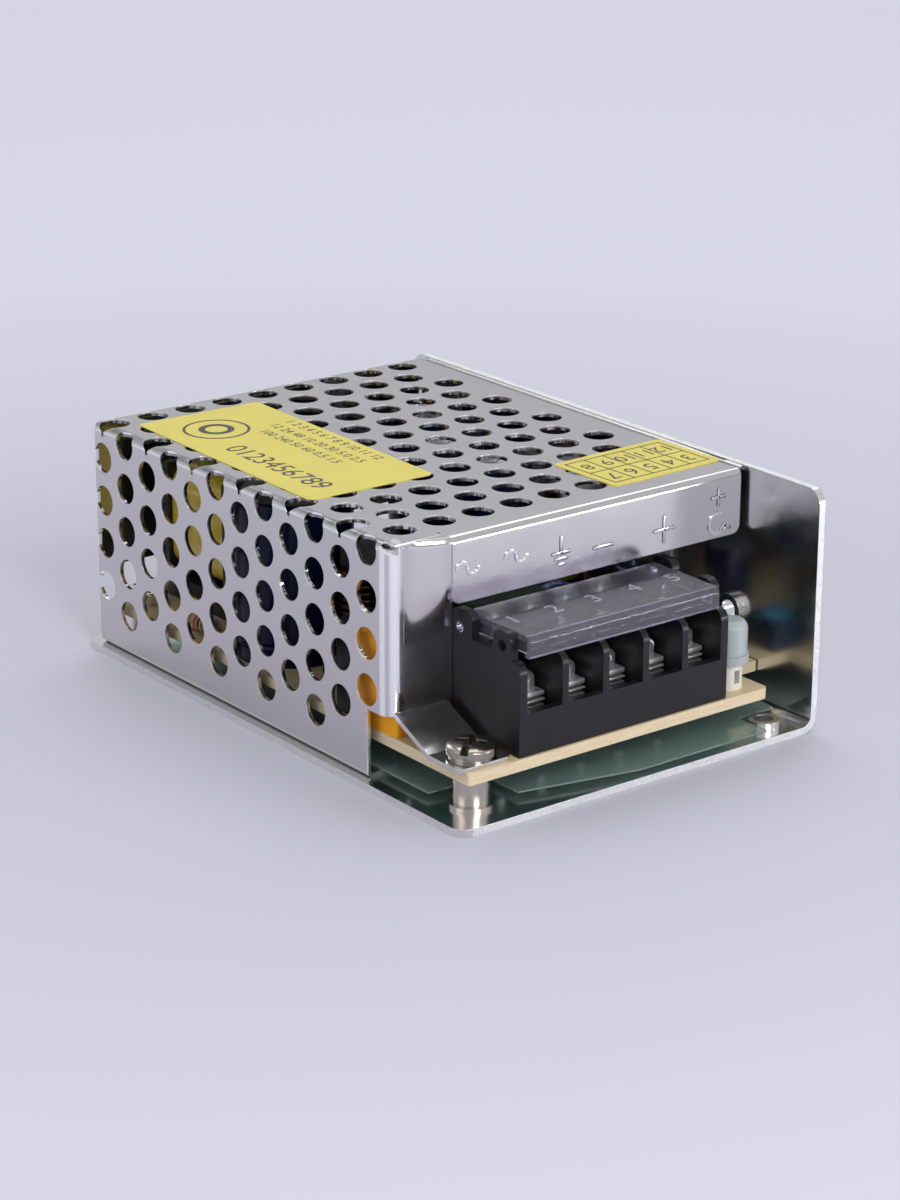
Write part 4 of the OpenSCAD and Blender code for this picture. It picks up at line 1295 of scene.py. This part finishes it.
def power_device(node: str, thick: float = 1.3, leads: float = 2.18) -> Moulding:
    """Finish the epoxy body of a power device, with its metal tab and its leads.

    Args:
        node: name of the node.
        thick: thickness of the tab.
        leads: length of the leads.

    Returns:
        The finish.
    """
    box = Box.of(node)
    back = Vector((box.high.x - thick - 0.02, box.low.y - 1, box.low.z))
    return epoxy(node, Box(back, box.high + Vector((1, 1, 1))), below(node, leads))


def own_finishes() -> dict[str, Finish]:
    """Finishes that follow the place of one node.

    Returns:
        Each node's finish.
    """
    cover, fuse = Box.of("mesh_cover"), Box.of("fuse")
    caps = ends(fuse, Axis.X, fuse.size.x / 2 - FUSE_CAP_X)
    wires = []
    for box in solids("resistors"):
        axis = lying(box)
        wires += ends(box, axis, (box.size[axis.value] - RESISTOR_BODY) / 2, 0.3)
    made = [
        ShearedSheet(
            "base_chassis", (0.8, 0.8, 0.8), 0.2, 0.14, 0.03, 0.004, 0.12, Box.of("base_chassis")
        ),
        FoldedSheet(
            "mesh_cover", PLATED, 0.16, 0.12, 0.05, 0.0, 0.12, (cover.low.x, FLANGE_Y), cover.high.z
        ),
        Laminate("circuit_board", (0.76, 0.64, 0.42), Box.of("circuit_board")),
        ClearPlastic(
            "indicator_led", (0.55, 0.6, 0.61), 0.3, 0.35, (below("indicator_led", 4.55),)
        ),
        TapedBox(
            "line_capacitor", (0.95, 0.42, 0.02), 0.4, 0.004, 0.15, 0.0, shine=0.15,
            tape_y=Box.of("line_capacitor").low.y + 7.7,
        ),
        Moulding("auxiliary_capacitors", NAVY, 0.18, 0.002, 0.1, 0.4),
        Moulding("film_capacitor", (0.012, 0.02, 0.01), 0.5, 0.02, 0.15, shine=0.08),
        Moulding("fuse", (0.74, 0.7, 0.6), 0.4, 0.01, 0.05, 0.0, caps),
        Moulding("resistors", (0.66, 0.5, 0.3), 0.35, 0.01, 0.0, 0.0, tuple(wires)),
        dipped("thermistor", (0.015, 0.06, 0.03), 1.9),
        dipped("varistor", (0.01, 0.045, 0.14), 1.9),
        dipped("safety_capacitor", (0.04, 0.14, 0.42), 2.3),
        epoxy("bridge_rectifier", below("bridge_rectifier", 2.98)),
        epoxy("controller_chip", *ends(Box.of("controller_chip"), Axis.X, 0.68)),
        epoxy("optocoupler", *ends(Box.of("optocoupler"), Axis.Y, 0.68)),
        power_device("switch_transistor"),
        power_device("rectifier_diode"),
        *(Sleeve(can, NAVY, Box.of(can)) for can in CANS),
    ]
    return {finish.name: finish for finish in made}


@dataclass
class Wardrobe:
    """Gives each CAD node its finish and hands out shared materials."""

    finishes: dict[str, Finish] = field(default_factory=lambda: FINISHES | own_finishes())
    made: dict[str, bpy.types.Material] = field(default_factory=dict)

    def material(self, name: str) -> bpy.types.Material:
        """Hand out a finish's material, built once.

        Args:
            name: name of the finish.

        Returns:
            The material.
        """
        if name not in self.made:
            self.made[name] = self.finishes[name].material()
        return self.made[name]

    def dress_nodes(self) -> None:
        """Put every node's finish on it."""
        worn = {node: finish for finish, nodes in WEARERS.items() for node in nodes}
        for name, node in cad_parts.items():
            node.data.materials.clear()
            node.data.materials.append(self.material(worn.get(name, name)))
            log.info("dressed %s", name)


# ---- Pieces over the CAD nodes -------------------------------------------


def lip_face() -> float:
    """Find the front face of the lip, the foremost flat of the cover's top.

    Returns:
        Its Y.
    """
    top = Box.of("mesh_cover").high.z
    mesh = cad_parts["mesh_cover"].data
    return min(v.co.y / MM for v in mesh.vertices if v.co.z / MM > top - 5)


def eased(share: float) -> float:
    """Ease a share from 0 to 1 in and out."""
    return share * share * (3 - 2 * share)


@dataclass
class FormedCover:
    """The cover with its foot made straight, and the foot's screw with a rounder head."""

    wardrobe: Wardrobe
    flange_z: float = 10.4
    foot_x: tuple[float, float] = (-27.4, -19.0)
    foot_above: float = 0.9
    foot_past: float = 1.1
    crease_drop: float = 0.2
    screw_room: float = 0.1
    washer: float = 0.6
    screw_steps: tuple[tuple[float, float], ...] = (
        (0.0, 0.0), (0.7, 0.42), (1.53, 1.05), (2.3, 2.0)
    )
    slot_reach: float = 1.6
    screw_spread: float = 1.06
    slack: float = 0.01

    def straighten(self) -> None:
        """Copy the cover and straighten the ramp of its foot between two creases."""
        shape = Shape.copy_of("mesh_cover")
        ramp_y = Box.of("foot_screw").high.y + self.screw_room
        rise = self.flange_z - self.crease_drop - Box.of("circuit_board").high.z
        for vert in shape.mesh.verts:
            step = (vert.co.y - ramp_y) / (FLANGE_Y - ramp_y)
            beside = self.foot_x[0] <= vert.co.x <= self.foot_x[1]
            if beside and 0 < step < self.foot_past and vert.co.z < self.flange_z + self.foot_above:
                step = min(step, 1.0)
                vert.co.z += rise * (step - step * step)
        material = self.wardrobe.material("mesh_cover")
        piece = shape.finish("mesh_cover_formed", material, CASE, "plated_steel", 28)
        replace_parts(piece, "mesh_cover")

    def lowered(self, height: float) -> float:
        """Move a point of the head to the rounder head.

        Args:
            height: its height over the seat.

        Returns:
            Its new height over the seat.
        """
        for (low, new_low), (high, new_high) in zip(self.screw_steps, self.screw_steps[1:]):
            if low - self.slack <= height <= high + self.slack:
                return new_low + (height - low) / (high - low) * (new_high - new_low)
        return height

    def dome(self) -> None:
        """Copy the foot's screw with a wider and rounder head."""
        shape = Shape.copy_of("foot_screw")
        centre = Box.of("foot_screw").centre.xy
        seat = Box.of("circuit_board").high.z + self.washer
        for vert in shape.mesh.verts:
            height = vert.co.z - seat
            if height < -self.slack:
                continue
            vert.co.z = seat + self.lowered(height)
            if (vert.co.xy - centre).length > self.slot_reach:
                vert.co.xy = centre + (vert.co.xy - centre) * self.screw_spread
        material = self.wardrobe.material("head_nickel")
        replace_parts(shape.finish("foot_screw_domed", material, CASE, "nickel", 30), "foot_screw")

    def build(self) -> None:
        """Make both copies."""
        self.straighten()
        self.dome()


@dataclass
class LipSigns:
    """Signs stamped into the front lip, one for each terminal and one for the trimmer.

    A place on the lip gives X and Z.
    """

    wardrobe: Wardrobe
    depth: float = 0.15
    width: float = 0.46
    soft: float = 0.1
    tildes: tuple[tuple[float, float], ...] = ((-17.6, 28.3), (-10.0, 28.3))
    tilde_r: float = 0.86
    earth_at: tuple[float, float] = (-2.8, 27.3)
    earth_stem: float = 2.0
    earth_step: float = 0.75
    earth_bars: tuple[float, ...] = (1.3, 0.85, 0.4)
    minus: tuple[tuple[float, float], ...] = ((2.6, 26.8), (5.6, 26.8))
    pluses: tuple[Vec, ...] = ((14.3, 27.0, 1.6), (23.6, 29.6, 1.05))
    arrow_at: tuple[float, float] = (23.5, 26.0)
    arrow_r: float = 1.4
    arrow_start: float = 60.0
    arrow_run: float = 285.0
    arrow_barbs: tuple[float, float] = (150.0, -110.0)
    arrow_barb: float = 0.9
    shape: Shape = field(default_factory=Shape)

    def __post_init__(self) -> None:
        """Find the lip's face."""
        self.face = plane((0, lip_face(), 0), (1, 0, 0), (0, 0, 1))

    def stroke(self, start: Sequence[float], end: Sequence[float]) -> None:
        """Stamp one straight stroke."""
        self.shape.stroke(self.face, start, end, self.width, self.depth, self.soft)

    def plus(self, x: float, z: float, arm: float) -> None:
        """Stamp a plus."""
        self.stroke((x - arm, z), (x + arm, z))
        self.stroke((x, z - arm), (x, z + arm))

    def earth(self, x: float, z: float) -> None:
        """Stamp the earth sign: a stem over three bars.

        Args:
            x: the sign's place along the lip.
            z: its height.
        """
        self.stroke((x, z + self.earth_stem), (x, z))
        for step, half in enumerate(self.earth_bars):
            level = z - self.earth_step * step
            self.stroke((x - half, level), (x + half, level))

    def tilde(self, x: float, z: float) -> None:
        """Stamp an alternating-current sign from two half rings.

        Args:
            x: the sign's place along the lip.
            z: its height.
        """
        for side, turn in ((-1, 0), (1, math.pi)):
            place = Matrix.Translation((x + side * self.tilde_r, z, 0))
            place = self.face @ place @ Matrix.Rotation(turn, 4, "Z")
            self.shape.hoop(place, self.tilde_r, self.width, self.depth, 180)

    def turn_arrow(self, x: float, z: float) -> None:
        """Stamp the sign of a thing to turn: an open ring with a head.

        Args:
            x: the sign's place along the lip.
            z: its height.
        """
        start = Matrix.Rotation(math.radians(self.arrow_start), 4, "Z")
        place = self.face @ Matrix.Translation((x, z, 0)) @ start
        self.shape.hoop(place, self.arrow_r, self.width, self.depth, self.arrow_run)
        tip = math.radians(self.arrow_start + self.arrow_run)
        end = Vector((x + self.arrow_r * math.cos(tip), z + self.arrow_r * math.sin(tip)))
        for spread in self.arrow_barbs:
            heading = tip + math.pi / 2 + math.radians(spread)
            self.stroke(end, end + Vector((math.cos(heading), math.sin(heading))) * self.arrow_barb)

    def build(self) -> None:
        """Stamp the signs from left to right."""
        for place in self.tildes:
            self.tilde(*place)
        self.earth(*self.earth_at)
        self.stroke(*self.minus)
        for sign in self.pluses:
            self.plus(*sign)
        self.turn_arrow(*self.arrow_at)
        material = self.wardrobe.material("stamped_steel")
        self.shape.finish("lip_signs", material, CASE, "plated_steel", 40)


@dataclass
class CornerReturn:
    """Sheet that brings the corner flange forward to the lip's end and on to the block.

    The size is that of the joggle. The last four fields are small offsets that keep it
    just clear of the cover's own faces.
    """

    wardrobe: Wardrobe
    lip_x: float = -19.9
    strip_x: float = -19.05
    strip_z: tuple[float, float] = (10.6, 24.5)
    strip_y: tuple[float, float] = (0.02, 0.58)
    block_gap: float = 0.05
    size: tuple[float, float] = (6.0, 13.0)
    steps: tuple[int, int] = (14, 26)
    fade: float = 6.5
    fold: float = 0.6
    front: float = 0.02
    shy: float = 0.15
    back: float = 0.3
    drop: float = 0.03

    def joggle(self, shape: Shape) -> None:
        """Bring the flange smoothly forward to the lip, from a joggle beside the corner.

        Args:
            shape: the shape that takes the joggle.
        """
        top = Box.of("mesh_cover").high.z
        columns, rows = self.steps
        grid = bmesh.ops.create_grid(shape.mesh, x_segments=columns, y_segments=rows, size=0.5)
        verts = grid["verts"]
        wide, tall = self.size
        flat = FLANGE_Y - self.front
        depth = flat - lip_face() - self.shy
        for vert in verts:
            x = self.lip_x - wide * (0.5 - vert.co.x)
            z = top - self.drop - tall * (0.5 - vert.co.y)
            rise = eased(min((z - top + tall) / self.fade, 1.0))
            forward = depth * eased(vert.co.x + 0.5) * rise
            over = max(z - top + self.fold, 0.0)
            tuck = self.fold - math.sqrt(max(self.fold**2 - over**2, 0.0))
            vert.co = (x, flat - forward + min(tuck, forward), z)
        faces = list({face for vert in verts for face in vert.link_faces})
        for vert in bmesh.ops.extrude_face_region(shape.mesh, geom=faces)["geom"]:
            if isinstance(vert, bmesh.types.BMVert):
                vert.co.y = FLANGE_Y + self.back
        bmesh.ops.recalc_face_normals(shape.mesh, faces=shape.mesh.faces[:])

    def build(self) -> None:
        """Make the joggle, and the strip that carries the flange to the block."""
        shape = Shape()
        self.joggle(shape)
        near, far = (FLANGE_Y + y for y in self.strip_y)
        end = Box.of("terminal_block").low.x - self.block_gap
        shape.slab((self.strip_x, near, self.strip_z[0]), (end, far, self.strip_z[1]))
        material = self.wardrobe.material("plated_steel")
        shape.finish("corner_return", material, CASE, "plated_steel", 40)


@dataclass
class Labels:
    """Generic print on the two yellow labels: a grid, rings and plain figures.

    Places on a label are measured from its centre. A ring gives its radius and the width
    of its line. A row gives its figures, its place and its height.
    """

    wardrobe: Wardrobe
    ink: float = 0.012
    line: float = 0.22
    large_turn: float = -1.4
    small_turn: float = 1.5
    rings_at: tuple[float, float] = (-2.2, 12.77)
    rings: tuple[tuple[float, float], ...] = ((4.4, 0.4), (2.0, 0.9))
    rows: tuple[tuple[str, float, float, float], ...] = (
        ("0123456789", -5.06, -6.53, 3.2),
        ("100 240 50 60 0.5 1.5", 2.46, -0.53, 1.5),
        ("12 24 48 10 20 30 5.0 2.5", 5.16, -0.53, 1.5),
        ("1 2 3 4 5 6 7 8 9 10 11 12", 7.86, -0.53, 1.5),
    )
    grid: tuple[float, float] = (8.2, 4.9)
    columns: int = 5
    upper: float = 2.3
    lower: float = 2.5

    def sheet(self, node: str, turn: float) -> Matrix:
        """Place the plane of a label's face.

        Args:
            node: name of the label.
            turn: degrees that it is turned by.

        Returns:
            The placing, with its origin at the centre.
        """
        box = Box.of(node)
        top = Vector((box.centre.x, box.centre.y, box.high.z))
        return Matrix.Translation(top) @ Matrix.Rotation(math.radians(turn), 4, "Z")

    def large(self) -> None:
        """Print the large label: two rings, a large row of figures and three small ones."""
        shape, face = Shape(), self.sheet("large_label", self.large_turn)
        centre = face @ Matrix.Translation((*self.rings_at, 0))
        for radius, width in self.rings:
            shape.hoop(centre, radius, width, self.ink)
        for text, x, y, height in self.rows:
            shape.number(text, face, (x, y), height, self.ink, -90)
        shape.finish("large_label_print", self.wardrobe.material("label_ink"), CASE, "yellow_label")

    def small(self) -> None:
        """Print the small label: a grid of plain figures, read from the back."""
        shape, face = Shape(), self.sheet("small_label", self.small_turn)
        wide, deep = self.grid
        cell = 2 * wide / self.columns
        corners = [(-wide, -deep), (wide, -deep), (wide, deep), (-wide, deep)]
        lines = list(zip(corners, corners[1:] + corners[:1]))
        lines.append(((-wide, 0), (wide, 0)))
        for x in (-wide + column * cell for column in range(1, self.columns)):
            lines.append(((x, -deep), (x, deep)))
        for start, end in lines:
            shape.stroke(face, start, end, self.line, self.ink)
        for column in range(self.columns):
            x = -wide + (column + 0.5) * cell
            shape.number(str(7 - column), face, (x, -deep / 2), self.lower, self.ink, 180)
            shape.number(str(8 + column), face, (x, deep / 2), self.upper, self.ink, 180)
        shape.finish("small_label_print", self.wardrobe.material("label_ink"), CASE, "yellow_label")

    def build(self) -> None:
        """Print both labels."""
        self.large()
        self.small()


@dataclass
class FlapFigures:
    """Figures 1 to 5 raised on the clear flap, one over each chamber."""

    wardrobe: Wardrobe
    height: float = 2.6
    raised: float = 0.06

    def build(self) -> None:
        """Raise the figures on the flap's top."""
        flap = Box.of("terminal_flap")
        shape = Shape()
        for pole in POLES:
            x = Box.of(f"terminal_screw_{pole}").centre.x
            face = Matrix.Translation((x, flap.centre.y, flap.high.z))
            shape.number(str(pole), face, (0, 0), self.height, self.raised)
        shape.finish("flap_figures", self.wardrobe.material("flap_digits"), "flap", "clear_flap")


@dataclass
class Soldering:
    """Solder joints and trimmed leads under the board.

    A spread gives how far each of a part's two leads stands from its centre in X and Y.
    """

    wardrobe: Wardrobe
    fillet_r: float = 0.95
    fillet_h: float = 0.28
    neck: float = 0.66
    cone_h: float = 0.75
    lead_r: float = 0.32
    lead_l: float = 1.15
    pitch: float = 2.54
    spreads: dict[str, tuple[float, float]] = field(
        default_factory=lambda: {
            "thermistor": (2.5, 0), "varistor": (2.5, 0), "safety_capacitor": (2.5, 0),
            "line_capacitor": (0, 5), "film_capacitor": (5, 0), "reservoir_capacitor": (3.75, 0),
            "output_capacitor_1": (2.5, 0), "output_capacitor_2": (2.5, 0),
            "output_capacitor_3": (2.5, 0), "output_choke": (0, 4.5), "fuse": (6.2, 0),
        }
    )
    resistor_reach: float = 4.4
    capacitor_reach: float = 1.0
    bridge_pitch: float = 3.8
    device_setback: float = 2.45
    choke_reach: float = 4.0
    choke_rows: tuple[float, ...] = (-6.0, 6.0)
    core_reach: float = 8.2
    core_rows: tuple[float, ...] = (-7.6, -2.5, 2.5, 7.6)
    trimmer_reach: float = 2.5
    lamp_reach: float = 1.27
    contact_inset: float = 0.55

    def pair(self, centre: Vector, dx: float, dy: float) -> list[tuple[float, float]]:
        """Places of two leads on both sides of a centre."""
        return [(centre.x - dx, centre.y - dy), (centre.x + dx, centre.y + dy)]

    def places(self) -> list[tuple[float, float]]:
        """Where leads come through the board.

        Returns:
            Their places in millimetres.
        """
        found = []
        for node, spread in self.spreads.items():
            found += self.pair(Box.of(node).centre, *spread)
        for box in solids("auxiliary_capacitors"):
            found += self.pair(box.centre, self.capacitor_reach, 0)
        for box in solids("resistors"):
            reach = self.resistor_reach
            found += self.pair(box.centre, *((reach, 0) if lying(box) is Axis.X else (0, reach)))
        bridge = Box.of("bridge_rectifier").centre
        found += [(bridge.x + k * self.bridge_pitch, bridge.y) for k in (-1.5, -0.5, 0.5, 1.5)]
        for node in ("switch_transistor", "rectifier_diode"):
            box = Box.of(node)
            x = box.high.x - self.device_setback
            found += [(x, box.centre.y + k * self.pitch) for k in (-1, 0, 1)]
        found += self.pins("controller_chip", 4, Axis.X) + self.pins("optocoupler", 2, Axis.Y)
        choke, core = Box.of("line_choke_coils").centre, Box.of("transformer_core").centre
        for side in (-1, 1):
            x = choke.x + side * self.choke_reach
            found += [(x, choke.y + dy) for dy in self.choke_rows]
        for side in (-1, 1):
            x = core.x + side * self.core_reach
            found += [(x, core.y + dy) for dy in self.core_rows]
        trimmer = Box.of("trimmer_body").centre
        found += self.pair(trimmer, self.trimmer_reach, 0)
        found.append((trimmer.x, trimmer.y + self.trimmer_reach))
        return found

    def pins(self, node: str, count: int, axis: Axis) -> list[tuple[float, float]]:
        """Places of the two rows of pins of a chip.

        Args:
            node: name of the chip's node.
            count: how many pins a row has.
            axis: the direction from one row to the other.

        Returns:
            Their places in millimetres.
        """
        box = Box.of(node)
        places = []
        for k in range(count):
            step = (k - (count - 1) / 2) * self.pitch
            for side in (box.low, box.high):
                row = (side.x, box.centre.y + step)
                places.append(row if axis is Axis.X else (box.centre.x + step, side.y))
        return places

    def build(self) -> None:
        """Solder every lead, and the pins that the frame already brings through."""
        under = Box.of("circuit_board").low.z
        joints, leads = Shape(), Shape()
        pins = [
            (box.centre.x, box.high.y - self.contact_inset) for box in solids("terminal_contacts")
        ]
        pins += self.pair(Box.of("indicator_led").centre, self.lamp_reach, 0)
        for x, y in self.places():
            leads.rod((x, y, under), (x, y, under - self.lead_l), self.lead_r, sides=8)
        neck_r = self.fillet_r * self.neck
        for x, y in self.places() + pins:
            foot, waist, tip = ((x, y, under - h) for h in (0, self.fillet_h, self.cone_h))
            joints.rod(foot, waist, self.fillet_r, neck_r, 14)
            joints.rod(waist, tip, neck_r, self.lead_r + 0.06, 14)
        joints.finish("solder_joints", self.wardrobe.material("solder"), CASE, "tinned_brass", 70)
        leads.finish("trimmed_leads", self.wardrobe.material("tinned"), CASE, "tinned_brass", 40)


@dataclass
class Lamp:
    """Lead frame inside the milky lamp: a post, and an anvil with its cup.

    Each leg gives where it starts and ends in X, and how far its top is under the dome's.
    """

    wardrobe: Wardrobe
    legs: tuple[Vec, ...] = ((-1.5, -0.55, 2.4), (0.9, 1.4, 2.1))
    foot: float = 5.5
    half: float = 0.25
    cup_x: float = -0.7
    cup: tuple[float, float] = (2.4, 1.9)
    cup_r: tuple[float, float] = (0.5, 0.75)

    def build(self) -> None:
        """Place the post, the anvil and the cup."""
        box = Box.of("indicator_led")
        x, y, top = box.centre.x, box.centre.y, box.high.z
        shape = Shape()
        for start, end, drop in self.legs:
            low = (x + start, y - self.half, top - self.foot)
            shape.slab(low, (x + end, y + self.half, top - drop), 0.06)
        base, rim = ((x + self.cup_x, y, top - drop) for drop in self.cup)
        shape.rod(base, rim, *self.cup_r, 20)
        shape.finish("lamp_lead_frame", self.wardrobe.material("tinned"), CASE, "tinned_brass", 40)


@dataclass
class RingChoke:
    """Output choke: enamelled wire wound round a painted ring core on its edge."""

    wardrobe: Wardrobe
    turns: int = 19
    wire_r: float = 0.42
    inner_r: float = 2.3
    corner: float = 0.9

    def build(self) -> None:
        """Make the core and its turns in the room of the solid they stand for."""
        box = Box.of("output_choke")
        outer_r, width = box.size.z / 2, box.size.x / 2
        mean = (outer_r + self.inner_r) / 2
        half = ((outer_r - self.inner_r) / 2 - 2 * self.wire_r, width - 2 * self.wire_r)
        core, wire = Shape(), Shape()
        self.section(core, mean, half)
        self.turn(wire, mean, half)
        place = Matrix.Translation(box.centre) @ Matrix.Rotation(math.pi / 2, 4, "Y")
        for shape in (core, wire):
            bmesh.ops.transform(shape.mesh, matrix=place, verts=shape.mesh.verts)
        paint, copper = map(self.wardrobe.material, ("core_paint", "copper_wire"))
        core.finish("output_choke_core", paint, CASE, "yellow_box", 50)
        piece = wire.finish("output_choke_winding", copper, CASE, "copper_wire", 50)
        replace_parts(piece, "output_choke")

    def section(self, shape: Shape, mean: float, half: tuple[float, float]) -> None:
        """Spin the core's rounded section about its axis.

        Args:
            shape: the shape that takes the core.
            mean: mean radius of the ring.
            half: half the section's width and height.
        """
        made = bmesh.ops.create_grid(shape.mesh, x_segments=1, y_segments=1, size=1)
        place = Matrix.Translation((mean, 0, 0)) @ Matrix.Rotation(math.pi / 2, 4, "X")
        place = place @ Matrix.Diagonal((*half, 1, 1))
        bmesh.ops.transform(shape.mesh, matrix=place, verts=made["verts"])
        bmesh.ops.bevel(
            shape.mesh, geom=made["verts"], offset=self.corner, segments=3, profile=0.5,
            affect="VERTICES", material=-1,
        )
        bmesh.ops.delete(shape.mesh, geom=shape.mesh.faces[:], context="FACES_ONLY")
        bmesh.ops.spin(
            shape.mesh, geom=shape.mesh.edges[:] + shape.mesh.verts[:], cent=(0, 0, 0),
            axis=(0, 0, 1), angle=math.tau, steps=64, use_merge=True,
        )

    def turn(self, shape: Shape, mean: float, half: tuple[float, float]) -> None:
        """Lead one turn round the section, then repeat it round the ring.

        Args:
            shape: the shape that takes the winding.
            mean: mean radius of the ring.
            half: half the section's width and height.
        """
        flat = (half[0] - self.corner, half[1] - self.corner)
        start = Matrix.Translation((mean + half[0] + self.wire_r, 0, -flat[1]))
        made = bmesh.ops.create_circle(shape.mesh, segments=8, radius=self.wire_r, matrix=start)
        ends = list({edge for vert in made["verts"] for edge in vert.link_edges})
        heading = Vector((0, 0, 1))
        corner = Vector((mean + flat[0], 0, flat[1]))
        for length in (2 * flat[1], 2 * flat[0], 2 * flat[1], 2 * flat[0]):
            grown = bmesh.ops.extrude_edge_only(shape.mesh, edges=ends)["geom"]
            verts = [item for item in grown if isinstance(item, bmesh.types.BMVert)]
            bmesh.ops.translate(shape.mesh, vec=heading * length, verts=verts)
            edges = [item for item in grown if isinstance(item, bmesh.types.BMEdge)]
            rim = [edge for edge in edges if all(vert in verts for vert in edge.verts)]
            turned = bmesh.ops.spin(
                shape.mesh, geom=rim + verts, cent=corner, axis=(0, 1, 0), angle=-math.pi / 2,
                steps=3,
            )["geom_last"]
            ends = [item for item in turned if isinstance(item, bmesh.types.BMEdge)]
            heading = Matrix.Rotation(-math.pi / 2, 3, "Y") @ heading
            corner += heading * (2 * (flat[0] if abs(heading.x) > 0.5 else flat[1]))
        bmesh.ops.remove_doubles(shape.mesh, verts=shape.mesh.verts, dist=1e-3)
        first = shape.mesh.verts[:] + shape.mesh.edges[:] + shape.mesh.faces[:]
        for index in range(1, self.turns):
            copy = bmesh.ops.duplicate(shape.mesh, geom=first)["geom"]
            verts = [item for item in copy if isinstance(item, bmesh.types.BMVert)]
            turn = Matrix.Rotation(math.tau * index / self.turns, 3, "Z")
            bmesh.ops.rotate(shape.mesh, cent=(0, 0, 0), matrix=turn, verts=verts)


@dataclass
class ResistorBands:
    """Colour bands round the resistors; each gives its colour and its place along them."""

    wardrobe: Wardrobe
    radius: float = 1.22
    half: float = 0.25
    lift: float = 1.5
    bands: tuple[tuple[Colour, float], ...] = (
        ((0.25, 0.07, 0.02), -1.9),
        ((0.02, 0.02, 0.02), -1.0),
        ((0.6, 0.05, 0.02), -0.1),
        ((0.5, 0.34, 0.08), 1.6),
    )

    def build(self) -> None:
        """Put the bands on every resistor, one piece for each colour."""
        for index, (colour, at) in enumerate(self.bands, 1):
            name = f"resistor_bands_{index}"
            shape = Shape()
            for box in solids("resistors"):
                centre = Vector((box.centre.x, box.centre.y, box.low.z + self.lift))
                along = Vector((0, 0, 0))
                along[lying(box).value] = 1
                start, end = (centre + along * (at + step) for step in (-self.half, self.half))
                shape.rod(start, end, self.radius, sides=24)
            paint = Moulding(name, colour, 0.35, 0.0, 0.0)
            shape.finish(name, paint.material(), CASE, "ceramic", 40)


PIECES = (
    FormedCover, LipSigns, CornerReturn, Labels, FlapFigures, Soldering, Lamp, RingChoke,
    ResistorBands,
)


def main() -> None:
    """Build the studio, dress the CAD nodes and make the other pieces."""
    logging.basicConfig(level=logging.INFO, format="%(name)s: %(message)s")
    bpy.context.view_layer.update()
    Studio().build()
    wardrobe = Wardrobe()
    wardrobe.dress_nodes()
    for piece in PIECES:
        piece(wardrobe).build()


if __name__ == "__main__":
    main()
